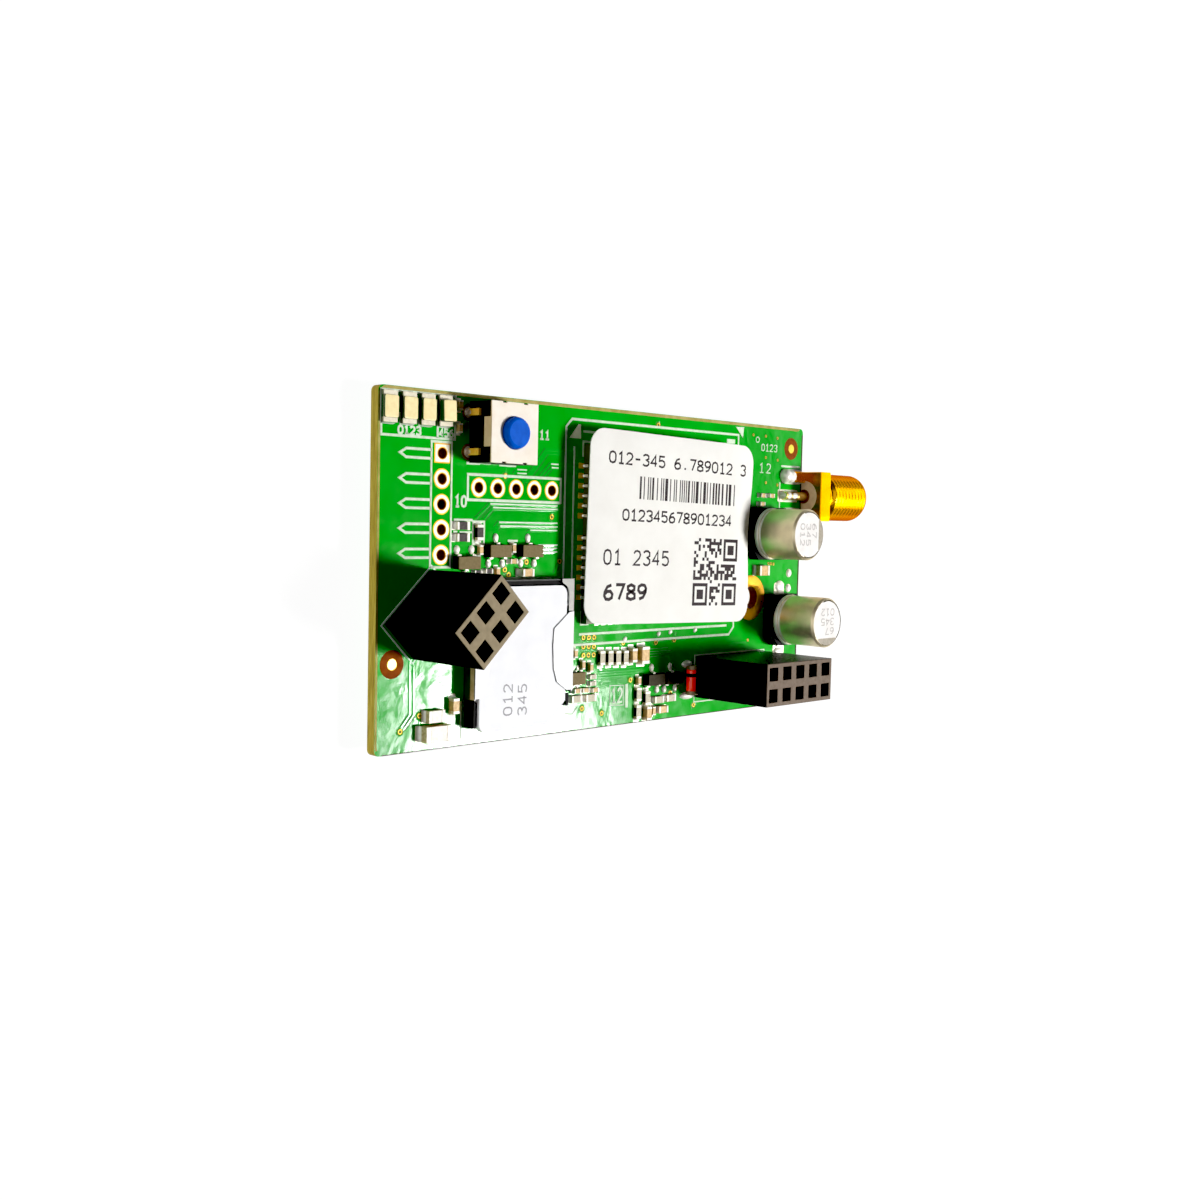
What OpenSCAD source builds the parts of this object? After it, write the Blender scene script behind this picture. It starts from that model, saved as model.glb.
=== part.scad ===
// Cellular modem board: a green two-layer board that carries a shielded radio
// module with a paper label, a card holder with its card, an edge-mounted
// antenna jack, two socket headers, a push switch, four indicator lamps,
// two can capacitors and the small chip parts around them.
// Millimetres. The board lies flat with its component side up. X runs along the
// board towards the antenna jack, Z is up, and Z = 0 is the tip of the solder tails.

/* [Board] */
// Length of the circuit board
board_l = 67.2; // [67:0.1:69]
// Width of the circuit board
board_w = 36; // [35.6:0.1:37]
// Thickness of the circuit board
board_t = 1.2; // [1.0:0.1:1.6]
// Corner radius of the circuit board
board_r = 0.6; // [0.3:0.1:1]
// Drill of the plated fixing hole
fix_d = 2.9; // [2.7:0.1:3.2]

/* [Headers] */
// Height of the socket headers above the board
socket_h = 11; // [8.5:0.5:12]
// Width of a socket opening
socket_w = 1.5; // [1.3:0.1:1.6]
// Length of the solder tails below the component face
tail_l = 3; // [2.9:0.1:3.4]
// Drill of the header holes
pin_hole_d = 1.0; // [0.95:0.05:1.1]

/* [Radio module] */
// Length of the module
module_l = 23.6; // [22:0.1:24]
// Width of the module
module_w = 19.9; // [18:0.1:20.2]
// Height of the module with its shield
module_h = 2.65; // [2.3:0.05:3]
// Length of the label
label_l = 28.1; // [24:0.1:28.2]
// Width of the label
label_w = 21.5; // [18:0.1:21.6]
// Turn of the label against the board, in degrees
label_turn = -1.4; // [-2:0.1:2]

/* [Antenna jack] */
// Side of the square flange
flange_s = 6.4; // [6:0.05:6.4]
// Outside diameter of the threaded barrel
thread_d = 6.2; // [6:0.05:6.3]
// Reach of the jack beyond the board edge
jack_reach = 10.2; // [9.5:0.1:11]

/* [Switch] */
// Side of the square switch
switch_s = 6.2; // [6:0.1:6.3]
// Diameter of the button
button_d = 3.2; // [3:0.1:3.3]
// Height of the button top above the board
button_h = 4.2; // [4.1:0.1:5]

/* [Card and capacitors] */
// Length of the card
card_l = 15; // [14.8:0.1:15]
// Width of the card
card_w = 12; // [11.8:0.1:12]
// Thickness of the card
card_t = 0.76; // [0.7:0.02:0.8]
// Diameter of the can capacitors
can_d = 6.3; // [6:0.1:6.3]
// Height of the can capacitors
can_h = 7.7; // [7:0.1:8]

/* [Hidden] */
$fn = 48;
pitch = 2.54;

// Places on the board, from the lower left corner of its component face
fix_at = [57.2, 14.1];
// Lamps: x, y, turn, and the height of the lens top
led_at = [[1.16, 33.96, 0, 0.65], [3.44, 33.96, 0, 0.65], [5.7, 33.96, 0, 0.65], [7.89, 33.99, 2, 1.1]];
column_at = [7.75, 29.8];
row_at = [12.5, 26.55];
h5_at = [48.35, 5.95];
h3_at = [5.52, 13.73];
h3_turn = 44.05;
switch_at = [14.3, 32.1];
mod_at = [39.22, 21.9];
label_at = [39.65, 22.5];
jack_y = 27.2;
jack_z = 0.45;
cap1_at = [58.8, 22.25];
cap2_at = [63.2, 11.2];
card_at = [11.6, 1.4];
card_z = 1.04;
diode_at = [45.6, 4.45];
reg_at = [26.3, 5.98];

// Three-lead parts: x, y, and 1 where the single lead points to +Y, -1 to -Y
sot = [[14.85, 20.05, 1], [19.3, 20.05, 1], [10.7, 18.85, -1], [39.1, 4.95, 1], [42.3, 4.9, 1]];

// Chip parts: x, y, turn, length, width, height
resistors = [
    [10.25, 22.6, 0, 1.6, 0.8, 0.45], [10.25, 21.4, 0, 1.6, 0.8, 0.45], [12.5, 21.95, 90, 1.6, 0.8, 0.45],
    [12.4, 17.8, 0, 1.0, 0.5, 0.35], [13.85, 17.95, 0, 1.0, 0.5, 0.35],
    [30.6, 7.95, 90, 1.6, 0.8, 0.45], [31.9, 7.9, 90, 1.6, 0.8, 0.45], [33.15, 7.85, 90, 1.6, 0.8, 0.45], [34.4, 7.8, 90, 1.6, 0.8, 0.45],
    [36.7, 3.35, 90, 1.6, 0.8, 0.45], [38.2, 2.8, 90, 1.6, 0.8, 0.45], [36.7, 1.3, 90, 1.6, 0.8, 0.45],
    [29.25, 5.9, 0, 1.0, 0.5, 0.35], [29.25, 5.15, 0, 1.0, 0.5, 0.35],
    [42.3, 2.5, 0, 1.6, 0.8, 0.45], [40.2, 2.45, 0, 1.6, 0.8, 0.45],
    [28.9, 3.55, 0, 1.6, 0.8, 0.45], [26.7, 3.6, 0, 1.6, 0.8, 0.45]];
capacitors = [
    [18.9, 17.75, 0, 1.6, 0.8, 0.8], [17.1, 18.95, 0, 1.0, 0.5, 0.5], [17.1, 20.35, 90, 1.0, 0.5, 0.5],
    [12.65, 20.15, 90, 1.0, 0.5, 0.5], [14.95, 17.85, 90, 1.0, 0.5, 0.5],
    [37.2, 7.95, 90, 2.0, 1.25, 0.9], [35.5, 8.0, 90, 1.6, 0.8, 0.8],
    [26.4, 8.7, 90, 1.0, 0.5, 0.5], [27.6, 7.35, 90, 1.0, 0.5, 0.5], [28.85, 7.0, 90, 1.0, 0.5, 0.5],
    [26.75, 4.5, 0, 1.0, 0.5, 0.5], [28.05, 4.5, 0, 1.0, 0.5, 0.5], [29.5, 4.4, 0, 1.0, 0.5, 0.5],
    [38.15, 1.05, 90, 1.6, 0.8, 0.8], [39.3, 1.2, 90, 1.0, 0.5, 0.5], [40.6, 1.3, 0, 1.6, 0.8, 0.8],
    [36.7, 4.95, 90, 1.0, 0.5, 0.5],
    [7.0, 1.75, 0, 3.2, 1.6, 1.2], [7.0, 3.45, 0, 2.0, 1.25, 0.8], [9.45, 4.3, 90, 1.6, 0.8, 0.8],
    [58.9, 17.55, 0, 2.0, 1.25, 0.9],
    [60.5, 27.1, 0, 1.0, 0.5, 0.5], [58.7, 27.1, 0, 1.0, 0.5, 0.5], [58.6, 26.0, 0, 1.0, 0.5, 0.5],
    [9.72, 34.7, 90, 1.0, 0.5, 0.5], [9.72, 32.4, 90, 1.0, 0.5, 0.5]];

// Puts board places into the frame of the part
module place() translate([-(board_l + jack_reach) / 2, -board_w / 2, tail_l]) children();

// Rounded rectangle about its centre
module round_rect(l, w, r) {
    square([l - 2 * r, w], center = true);
    square([l, w - 2 * r], center = true);
    for (x = [-1, 1], y = [-1, 1]) translate([x * (l / 2 - r), y * (w / 2 - r)]) circle(r);
}

// Block centred in X and Y, from z0 up to z1
module block(l, w, z0, z1) translate([-l / 2, -w / 2, z0]) cube([l, w, z1 - z0]);

// Children at every pin of a header of n columns and two rows, about its centre
module pins(n) for (i = [0 : n - 1], j = [0, 1])
    translate([(i - (n - 1) / 2) * pitch, (j - 0.5) * pitch, 0]) children();

module at_h5() translate([h5_at[0] + 2 * pitch, h5_at[1] - pitch / 2, 0]) children();
module at_h3() translate([h3_at[0], h3_at[1], 0]) rotate(h3_turn) children();

// ---- board
module circuit_board() color([0.05, 0.55, 0.12]) place() translate([0, 0, -board_t]) linear_extrude(board_t) difference() {
    translate([board_l / 2, board_w / 2]) round_rect(board_l, board_w, board_r);
    translate(fix_at) circle(d = fix_d);
    for (i = [0 : 4]) translate([column_at[0], column_at[1] - i * pitch]) circle(d = pin_hole_d);
    for (i = [0 : 4]) translate([row_at[0] + i * pitch, row_at[1]]) circle(d = pin_hole_d);
    at_h5() pins(5) circle(d = pin_hole_d);
    at_h3() pins(3) circle(d = pin_hole_d);
    for (x = [-1, 1], y = [-1, 1]) translate([switch_at[0] + x * (switch_s / 2 + 0.15), switch_at[1] + y * 2]) circle(d = pin_hole_d);
}

// ---- indicator lamps
module led_bases() color([0.92, 0.9, 0.8]) place()
    for (p = led_at) translate([p[0], p[1], 0]) rotate(p[2]) block(1.65, 3.05, 0, 0.4);
module led_lenses() color([0.95, 0.9, 0.65]) place()
    for (p = led_at) translate([p[0], p[1], 0]) rotate(p[2]) block(1.6, 2.15, 0.4, p[3]);

// ---- push switch
module at_switch() translate([switch_at[0], switch_at[1], 0]) children();
// Outline of one bent lead frame; y is the side of the switch that it runs along
module lead_frame(y) {
    s = switch_s / 2;
    for (x = [-1, 1]) {
        translate([x * (s + 0.15), y, 0]) block(0.3, 0.7, -2.4, 1.8);
        translate([x * (s - 0.25), y, 0]) block(0.5, 0.7, 1.5, 1.8);
        translate([x * (s - 0.35), y, 0]) block(0.3, 0.7, 0.4, 1.5);
    }
    translate([0, y, 0]) block(2 * s - 0.4, 0.7, 0.4, 0.7);
}
module lead_frames() {
    lead_frame(2);
    translate([0, 0.85, 0]) block(0.9, 1.7, 0.4, 0.7);
    lead_frame(-2);
}
module switch_base() color([0.06, 0.06, 0.06]) place() at_switch() difference() {
    block(switch_s, switch_s, 0, 3.3);
    translate([0, 0, 0.7]) cylinder(d = 4.7, h = 3);
    for (x = [-1, 1]) translate([x * (switch_s / 2 - 0.1), 0, 0]) block(0.2, 3, 2.3, 3.4);
    lead_frames();
}
module switch_leads() color([0.85, 0.75, 0.5]) place() at_switch() lead_frames();
module switch_dome() color([0.8, 0.8, 0.78]) place() at_switch() intersection() {
    translate([0, 0, 1.3 - 3.31]) difference() { sphere(3.31); sphere(3.23); }
    translate([0, 0, 0.7]) cylinder(r = 2.2, h = 1);
}
module switch_button() color([0.08, 0.35, 0.9]) place() at_switch() {
    translate([0, 0, 1.6]) cylinder(d = 1.6, h = 0.6);
    translate([0, 0, 2.2]) cylinder(d = 4.2, h = 1);
    translate([0, 0, 3.2]) cylinder(d = button_d, h = button_h - 3.5);
    translate([0, 0, button_h - 0.3]) cylinder(d1 = button_d, d2 = button_d - 0.2, h = 0.2);
    translate([0, 0, button_h - 0.1]) cylinder(d1 = button_d - 0.2, d2 = button_d - 0.6, h = 0.1);
}
module switch_cover() color([0.93, 0.88, 0.8]) place() at_switch() {
    translate([0, 0, 3.3]) linear_extrude(0.2) difference() {
        square(switch_s, center = true);
        circle(d = button_d + 0.16);
        for (x = [-1.4, 1.4], y = [-1, 1]) translate([x, y * switch_s / 2]) square([0.5, 0.3], center = true);
    }
    for (x = [-1, 1]) translate([x * (switch_s / 2 - 0.1), 0, 0]) block(0.2, 3, 2.3, 3.3);
}

// ---- socket headers
module housing(n) difference() {
    block(n * pitch, 2 * pitch, 0, socket_h);
    pins(n) { block(socket_w, socket_w, 1, socket_h + 1); block(0.72, 0.72, -1, 2); }
}
// One contact: a crimped root, two spring leaves and a square tail
module contacts(n) pins(n) {
    block(1.1, 1.1, 1, 1.8);
    for (y = [-1, 1]) translate([0, y * 0.45, 0]) block(0.9, 0.2, 1.8, 7);
    block(0.64, 0.64, -tail_l, 1);
}
module header_2x5_housing() color([0.08, 0.07, 0.07]) place() at_h5() housing(5);
module header_2x5_contacts() color([0.85, 0.7, 0.35]) place() at_h5() contacts(5);
module header_2x3_housing() color([0.08, 0.07, 0.07]) place() at_h3() housing(3);
module header_2x3_contacts() color([0.85, 0.7, 0.35]) place() at_h3() contacts(3);

// ---- antenna jack, its axis along X
module at_jack() translate([board_l, jack_y, jack_z]) children();
module along_x(x0, x1, d) translate([x0, 0, 0]) rotate([0, 90, 0]) cylinder(d = d, h = x1 - x0);
module antenna_jack_body() color([0.93, 0.72, 0.15]) place() {
    at_jack() difference() {
        union() {
            translate([0, -flange_s / 2, -3.4]) cube([2.2, flange_s, 6.15]);
            along_x(2.2, 2.8, thread_d - 0.7);
            along_x(2.8, jack_reach, thread_d);
        }
        along_x(-1, jack_reach + 1, 4.1);
        along_x(jack_reach - 1.9, jack_reach + 1, 4.6);
    }
    // two legs above the board and two below it
    for (y = [-1, 1]) {
        translate([board_l - 3.9, jack_y + y * (flange_s / 2 - 0.7) - 0.7, 0]) cube([3.9, 1.4, 0.6]);
        translate([board_l - 3.9, jack_y + y * (flange_s / 2 - 0.7) - 0.7, -board_t - 0.6]) cube([3.9, 1.4, 0.6]);
    }
}
module antenna_jack_insulator() color([0.9, 0.88, 0.82]) place() at_jack() difference() {
    along_x(0, jack_reach - 1.9, 4.1);
    along_x(-1, jack_reach, 1.27);
}
module antenna_jack_contact() color([0.93, 0.75, 0.25]) place() at_jack() {
    difference() {
        along_x(0, jack_reach - 1.9, 1.27);
        along_x(jack_reach - 4.5, jack_reach, 0.94);
    }
    // the tail is flattened where it lies on its pad
    intersection() {
        along_x(-4.3, 0, 1.1);
        translate([-5, -1, -jack_z]) cube([6, 2, 2]);
    }
}

// ---- can capacitors
module can_base() difference() {
    block(can_d + 0.3, can_d + 0.3, 0.15, 1.6);
    for (y = [-1, 1]) translate([-(can_d + 0.3) / 2, y * (can_d + 0.3) / 2, 0]) rotate(45) block(1.6, 1.6, 0, 2);
}
module can() {
    translate([0, 0, 1.6]) cylinder(d = can_d, h = 0.6);
    translate([0, 0, 2.2]) cylinder(d = can_d - 0.4, h = 0.4);
    translate([0, 0, 2.6]) cylinder(d = can_d, h = can_h - 2.85);
    translate([0, 0, can_h - 0.25]) cylinder(d1 = can_d, d2 = can_d - 0.5, h = 0.25);
}
module at_cap(p, turn) translate([p[0], p[1], 0]) rotate(turn) children();
module capacitor_1_base() color([0.05, 0.05, 0.05]) place() at_cap(cap1_at, 0) can_base();
module capacitor_1_can() color([0.78, 0.78, 0.74]) place() at_cap(cap1_at, 0) can();
module capacitor_2_base() color([0.05, 0.05, 0.05]) place() at_cap(cap2_at, 90) can_base();
module capacitor_2_can() color([0.78, 0.78, 0.74]) place() at_cap(cap2_at, 90) can();
module capacitor_terminals() color([0.85, 0.85, 0.85]) place() for (c = [[cap1_at, 0], [cap2_at, 90]])
    at_cap(c[0], c[1]) for (x = [-1, 1]) translate([x * 2.4, 0, 0]) block(2.8, 0.9, 0, 0.15);

// ---- radio module
module at_mod() translate([mod_at[0], mod_at[1], 0]) children();
module module_board() color([0.2, 0.35, 0.12]) place() at_mod() linear_extrude(0.9) difference() {
    square([module_l, module_w], center = true);
    // half-round plated notches along the four sides
    for (x = [-1, 1], i = [0 : 5]) translate([x * module_l / 2, 7.53 - i * 1.1]) circle(0.28);
    for (x = [-1, 1], i = [0 : 6]) translate([x * module_l / 2, -0.41 - i * 1.1]) circle(0.28);
    for (y = [-1, 1], i = [0 : 17]) translate([(i - 8.5) * 1.1, y * module_w / 2]) circle(0.28);
}
module module_processor() color([0.1, 0.1, 0.1]) place() at_mod() translate([-4.5, 2, 0]) block(10, 10, 0.9, 2);
module module_amplifier() color([0.12, 0.12, 0.12]) place() at_mod() translate([6, 2, 0]) block(6, 6, 0.9, 1.9);
module module_crystal() color([0.75, 0.75, 0.72]) place() at_mod() translate([6, -5, 0]) block(3.2, 2.5, 0.9, 1.7);
module module_shield() color([0.75, 0.74, 0.7]) place() at_mod() difference() {
    block(module_l - 1.4, module_w - 1.4, 0.9, module_h);
    block(module_l - 1.8, module_w - 1.8, 0.8, module_h - 0.2);
}
module module_label() color([0.98, 0.97, 0.93]) place() translate([label_at[0], label_at[1], module_h]) rotate(label_turn)
    linear_extrude(0.12) round_rect(label_l, label_w, 2.2);

// ---- card holder
hold_x0 = 11.1; hold_x1 = 24.4; hold_y0 = 1.9; hold_y1 = 16.9;
contact_x = [14.0, 17.6, 21.2];
contact_y = [5.0, 12.6];
module card_holder_base() color([0.07, 0.07, 0.08]) place() {
    difference() {
        translate([hold_x0, hold_y0, 0]) cube([hold_x1 - hold_x0, hold_y1 - hold_y0, 0.75]);
        for (x = contact_x, y = contact_y) translate([x, y, 0]) block(2.2, 3.2, -1, 2);
        translate([17.6, 8.8, 0]) block(9, 2, -1, 2);
        // open corner under the slanted corner of the card
        translate([hold_x1 - 3.4, hold_y0 - 1, -1]) cube([3, 3.3, 3]);
        translate([hold_x1 - 1, hold_y0 - 1, -1]) cube([2, 2.3, 3]);
    }
    // rails beside the mouth and a stop behind the card
    translate([hold_x0, hold_y0, 0.75]) cube([0.4, 2.7, 0.75]);
    translate([hold_x1 - 0.4, hold_y0 + 1.3, 0.75]) cube([0.4, 1.4, 0.75]);
    translate([hold_x0, hold_y1 - 0.4, 0.75]) cube([hold_x1 - hold_x0, 0.4, 0.75]);
}
// One folded retaining tab; the inner edge is drawn in towards the card
module tab(inner) polygon([[0, 5], [0, 13.6], [-0.7, 13.5], [-inner, 11.8], [-inner - 0.15, 10], [-inner, 7.5], [-inner + 0.5, 6], [-0.9, 5]]);
module card_holder_shell() color([0.8, 0.8, 0.79]) place() {
    // side walls
    translate([hold_x1, 4.8, 0]) cube([0.2, 12.1, 1.82]);
    translate([hold_x0 - 0.2, 4.8, 0]) cube([0.2, 12.1, 1.82]);
    // tabs over the two long edges of the card
    translate([hold_x1 + 0.2, 0, 1.82]) linear_extrude(0.1) tab(2.9);
    translate([hold_x0 - 0.2, 0, 1.82]) linear_extrude(0.1) mirror([1, 0]) tab(1.9);
    // rear corner plates and back wall
    translate([hold_x0 - 0.2, 14.2, 1.5]) cube([0.6, 2.7, 0.15]);
    translate([hold_x1 - 0.65, 14.2, 1.5]) cube([0.85, 2.7, 0.15]);
    translate([hold_x0 - 0.2, hold_y1, 0]) cube([hold_x1 - hold_x0 + 0.4, 0.2, 1.65]);
}
// Springs that press on the card from below, in the windows of the base
module card_contacts() color([0.9, 0.75, 0.35]) place() for (x = contact_x, y = contact_y)
    translate([x + 0.5, y, 0]) rotate([90, 0, -90]) linear_extrude(1)
        polygon([[-1.6, 0], [-0.6, 0], [0.9, 0.84], [1.1, 0.84], [1.5, 0.45], [1.6, 0.55], [1.2, 1.04], [0.8, 1.04], [-0.7, 0.2], [-1.6, 0.2]]);
module sim_card() color([0.96, 0.96, 0.97]) place() translate([card_at[0], card_at[1], card_z]) linear_extrude(card_t) difference() {
    translate([card_w / 2, card_l / 2]) round_rect(card_w, card_l, 1);
    translate([card_w, 0]) rotate(45) square([3.54, 3.54], center = true);
}

// ---- three-lead and six-lead parts
// One gull-wing lead that leaves a body side at y = 0 towards +Y
module gull(w, out, up) rotate([90, 0, 90]) translate([0, 0, -w / 2]) linear_extrude(w)
    polygon([[0, up], [out * 0.35, up], [out * 0.55, 0.15], [out, 0.15], [out, 0], [out * 0.45, 0], [out * 0.25, up - 0.15], [0, up - 0.15]]);
module at_sot() for (p = sot) translate([p[0], p[1], 0]) rotate(p[2] > 0 ? 0 : 180) children();
module transistor_bodies() color([0.25, 0.24, 0.22]) place() at_sot() block(2.9, 1.3, 0.05, 1.05);
module transistor_leads() color([0.85, 0.84, 0.8]) place() at_sot() {
    translate([0, 0.65, 0]) gull(0.45, 0.55, 0.6);
    for (x = [-0.95, 0.95]) translate([x, -0.65, 0]) rotate(180) gull(0.45, 0.55, 0.6);
}
module at_reg() translate([reg_at[0], reg_at[1], 0]) children();
module regulator_body() color([0.45, 0.44, 0.42]) place() at_reg() block(2.3, 1.35, 0.05, 1.05);
module regulator_leads() color([0.85, 0.84, 0.8]) place() at_reg() for (x = [-0.75, 0, 0.75], t = [0, 180])
    rotate(t) translate([x, 0.675, 0]) gull(0.36, 0.4, 0.6);

// ---- glass diode, its axis along Y
module at_diode() translate([diode_at[0], diode_at[1], 0.75]) rotate([90, 0, 0]) children();
module diode_glass() color([0.85, 0.1, 0.05]) place() at_diode() cylinder(d = 1.35, h = 2.6, center = true);
module diode_end_caps() color([0.85, 0.83, 0.75]) place() at_diode() for (z = [-1.75, 1.3]) translate([0, 0, z]) cylinder(d = 1.5, h = 0.45);

// ---- chip parts: a body between two metal ends
module at_chip(p) translate([p[0], p[1], 0]) rotate(p[2]) children();
module chip_resistors() color([0.1, 0.1, 0.1]) place() for (p = resistors) at_chip(p) block(p[3] * 0.62, p[4], 0.03, p[5]);
module chip_capacitors() color([0.75, 0.58, 0.4]) place() for (p = capacitors) at_chip(p) block(p[3] * 0.62, p[4], 0.03, p[5]);
module chip_terminals() color([0.88, 0.88, 0.85]) place() for (p = concat(resistors, capacitors)) at_chip(p)
    for (x = [-1, 1]) translate([x * p[3] * 0.405, 0, 0]) block(p[3] * 0.19, p[4] + 0.04, 0, p[5] + 0.02);

circuit_board();
led_bases();
led_lenses();
switch_base();
switch_leads();
switch_dome();
switch_button();
switch_cover();
header_2x5_housing();
header_2x5_contacts();
header_2x3_housing();
header_2x3_contacts();
antenna_jack_body();
antenna_jack_insulator();
antenna_jack_contact();
capacitor_1_base();
capacitor_1_can();
capacitor_2_base();
capacitor_2_can();
capacitor_terminals();
module_board();
module_processor();
module_amplifier();
module_crystal();
module_shield();
module_label();
card_holder_base();
card_holder_shell();
card_contacts();
sim_card();
transistor_bodies();
transistor_leads();
regulator_body();
regulator_leads();
diode_glass();
diode_end_caps();
chip_resistors();
chip_capacitors();
chip_terminals();
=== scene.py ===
import bpy, math, random
from mathutils import Vector, Matrix


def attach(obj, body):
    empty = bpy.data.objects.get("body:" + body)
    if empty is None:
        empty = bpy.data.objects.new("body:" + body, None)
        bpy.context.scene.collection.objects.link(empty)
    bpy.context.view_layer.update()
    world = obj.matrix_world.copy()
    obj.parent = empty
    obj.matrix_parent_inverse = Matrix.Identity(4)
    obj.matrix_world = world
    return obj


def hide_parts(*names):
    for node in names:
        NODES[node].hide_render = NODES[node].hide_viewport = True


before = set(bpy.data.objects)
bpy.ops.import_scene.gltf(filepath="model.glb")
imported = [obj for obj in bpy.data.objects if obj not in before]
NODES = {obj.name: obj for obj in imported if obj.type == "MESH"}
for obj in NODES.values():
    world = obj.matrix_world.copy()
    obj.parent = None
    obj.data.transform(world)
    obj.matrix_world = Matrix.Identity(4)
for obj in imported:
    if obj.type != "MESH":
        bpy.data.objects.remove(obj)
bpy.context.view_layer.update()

# Board places are in millimetres from the lower left corner of the component face
OX, OY, OZ = 38.7, 18.0, 3.0


def P(x, y, z=0.0):
    return ((x - OX) / 1000.0, (y - OY) / 1000.0, (z + OZ) / 1000.0)


# ------------------------------------------------------------------ materials
def blank(name):
    m = bpy.data.materials.new(name)
    m.use_nodes = True
    t = m.node_tree
    return m, t, t.nodes["Principled BSDF"]


def noise(t, scale, detail=4.0, stretch=None, rough=0.55, dist=0.0):
    tc = t.nodes.new("ShaderNodeTexCoord")
    n = t.nodes.new("ShaderNodeTexNoise")
    n.inputs["Scale"].default_value = scale
    n.inputs["Detail"].default_value = detail
    n.inputs["Roughness"].default_value = rough
    n.inputs["Distortion"].default_value = dist
    if stretch:
        mp = t.nodes.new("ShaderNodeMapping")
        mp.inputs["Scale"].default_value = stretch
        t.links.new(tc.outputs["Object"], mp.inputs["Vector"])
        t.links.new(mp.outputs["Vector"], n.inputs["Vector"])
    else:
        t.links.new(tc.outputs["Object"], n.inputs["Vector"])
    return n


def ramp(t, fac, stops):
    r = t.nodes.new("ShaderNodeValToRGB")
    e = r.color_ramp.elements
    e[0].position, e[0].color = stops[0][0], (*stops[0][1], 1)
    e[1].position, e[1].color = stops[-1][0], (*stops[-1][1], 1)
    for pos, col in stops[1:-1]:
        k = e.new(pos)
        k.color = (*col, 1)
    t.links.new(fac, r.inputs["Fac"])
    return r


def spread(t, fac, lo, hi, a=0.3, b=0.7):
    r = t.nodes.new("ShaderNodeMapRange")
    r.inputs["From Min"].default_value = a
    r.inputs["From Max"].default_value = b
    r.inputs["To Min"].default_value = lo
    r.inputs["To Max"].default_value = hi
    t.links.new(fac, r.inputs["Value"])
    return r


def bump(t, b, fac, height, normal=None):
    k = t.nodes.new("ShaderNodeBump")
    k.inputs["Strength"].default_value = 1.0
    k.inputs["Distance"].default_value = height
    t.links.new(fac, k.inputs["Height"])
    if normal:
        t.links.new(normal, k.inputs["Normal"])
    t.links.new(k.outputs["Normal"], b.inputs["Normal"])
    return k


def surface(name, low, high, rough=(0.4, 0.5), metal=0.0, scale=900.0, stretch=None, relief=0.0,
            relief_scale=4000.0, coat=0.0, ior=1.5, trans=0.0, sub=0.0, spec=0.5, aniso=0.0):
    m, t, b = blank(name)
    n = noise(t, scale, 5.0, stretch)
    c = ramp(t, n.outputs["Fac"], [(0.32, low), (0.68, high)])
    t.links.new(c.outputs["Color"], b.inputs["Base Color"])
    n2 = noise(t, scale * 2.3, 3.0, stretch)
    r = spread(t, n2.outputs["Fac"], rough[0], rough[1])
    t.links.new(r.outputs["Result"], b.inputs["Roughness"])
    b.inputs["Metallic"].default_value = metal
    b.inputs["IOR"].default_value = ior
    b.inputs["Coat Weight"].default_value = coat
    b.inputs["Coat Roughness"].default_value = 0.08
    b.inputs["Transmission Weight"].default_value = trans
    b.inputs["Subsurface Weight"].default_value = sub
    b.inputs["Subsurface Radius"].default_value = (0.0006, 0.0005, 0.0003)
    b.inputs["Specular IOR Level"].default_value = spec
    b.inputs["Anisotropic"].default_value = aniso
    if relief:
        n3 = noise(t, relief_scale, 3.0, stretch)
        bump(t, b, n3.outputs["Fac"], relief)
    return m


def board_material(name, lo, hi, rough=(0.09, 0.17), wave=5.0e-5, skin=1.0e-5, spec=0.25):
    """Glossy solder mask on the two faces, bare laminate on the cut edges and in the holes."""
    m, t, b = blank(name)
    geo = t.nodes.new("ShaderNodeNewGeometry")
    sep = t.nodes.new("ShaderNodeSeparateXYZ")
    t.links.new(geo.outputs["Normal"], sep.inputs["Vector"])
    up = t.nodes.new("ShaderNodeMath"); up.operation = "ABSOLUTE"
    t.links.new(sep.outputs["Z"], up.inputs[0])
    face = t.nodes.new("ShaderNodeMath"); face.operation = "GREATER_THAN"
    face.inputs[1].default_value = 0.5
    t.links.new(up.outputs[0], face.inputs[0])
    n = noise(t, 130.0, 4.0)
    green = ramp(t, n.outputs["Fac"], [(0.3, lo), (0.7, hi)])
    ne = noise(t, 1.0, 6.0, (420.0, 420.0, 7000.0))
    olive = ramp(t, ne.outputs["Fac"], [(0.3, (0.26, 0.185, 0.012)), (0.5, (0.42, 0.32, 0.030)), (0.72, (0.58, 0.47, 0.09))])
    mix = t.nodes.new("ShaderNodeMix"); mix.data_type = "RGBA"
    t.links.new(face.outputs[0], mix.inputs["Factor"])
    t.links.new(olive.outputs["Color"], mix.inputs[6])
    t.links.new(green.outputs["Color"], mix.inputs[7])
    t.links.new(mix.outputs[2], b.inputs["Base Color"])
    nr = noise(t, 700.0, 4.0)
    r1 = spread(t, nr.outputs["Fac"], rough[0], rough[1])
    r2 = spread(t, ne.outputs["Fac"], 0.6, 0.85)
    mr = t.nodes.new("ShaderNodeMix"); mr.data_type = "FLOAT"
    t.links.new(face.outputs[0], mr.inputs["Factor"])
    t.links.new(r2.outputs["Result"], mr.inputs[2])
    t.links.new(r1.outputs["Result"], mr.inputs[3])
    t.links.new(mr.outputs[0], b.inputs["Roughness"])
    b.inputs["Specular IOR Level"].default_value = spec
    # slow waves of the mask, then a finer skin
    w1 = noise(t, 210.0, 3.0, dist=0.6)
    w2 = noise(t, 760.0, 4.0)
    k = bump(t, b, w1.outputs["Fac"], wave)
    bump(t, b, w2.outputs["Fac"], skin, k.outputs["Normal"])
    return m


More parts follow.
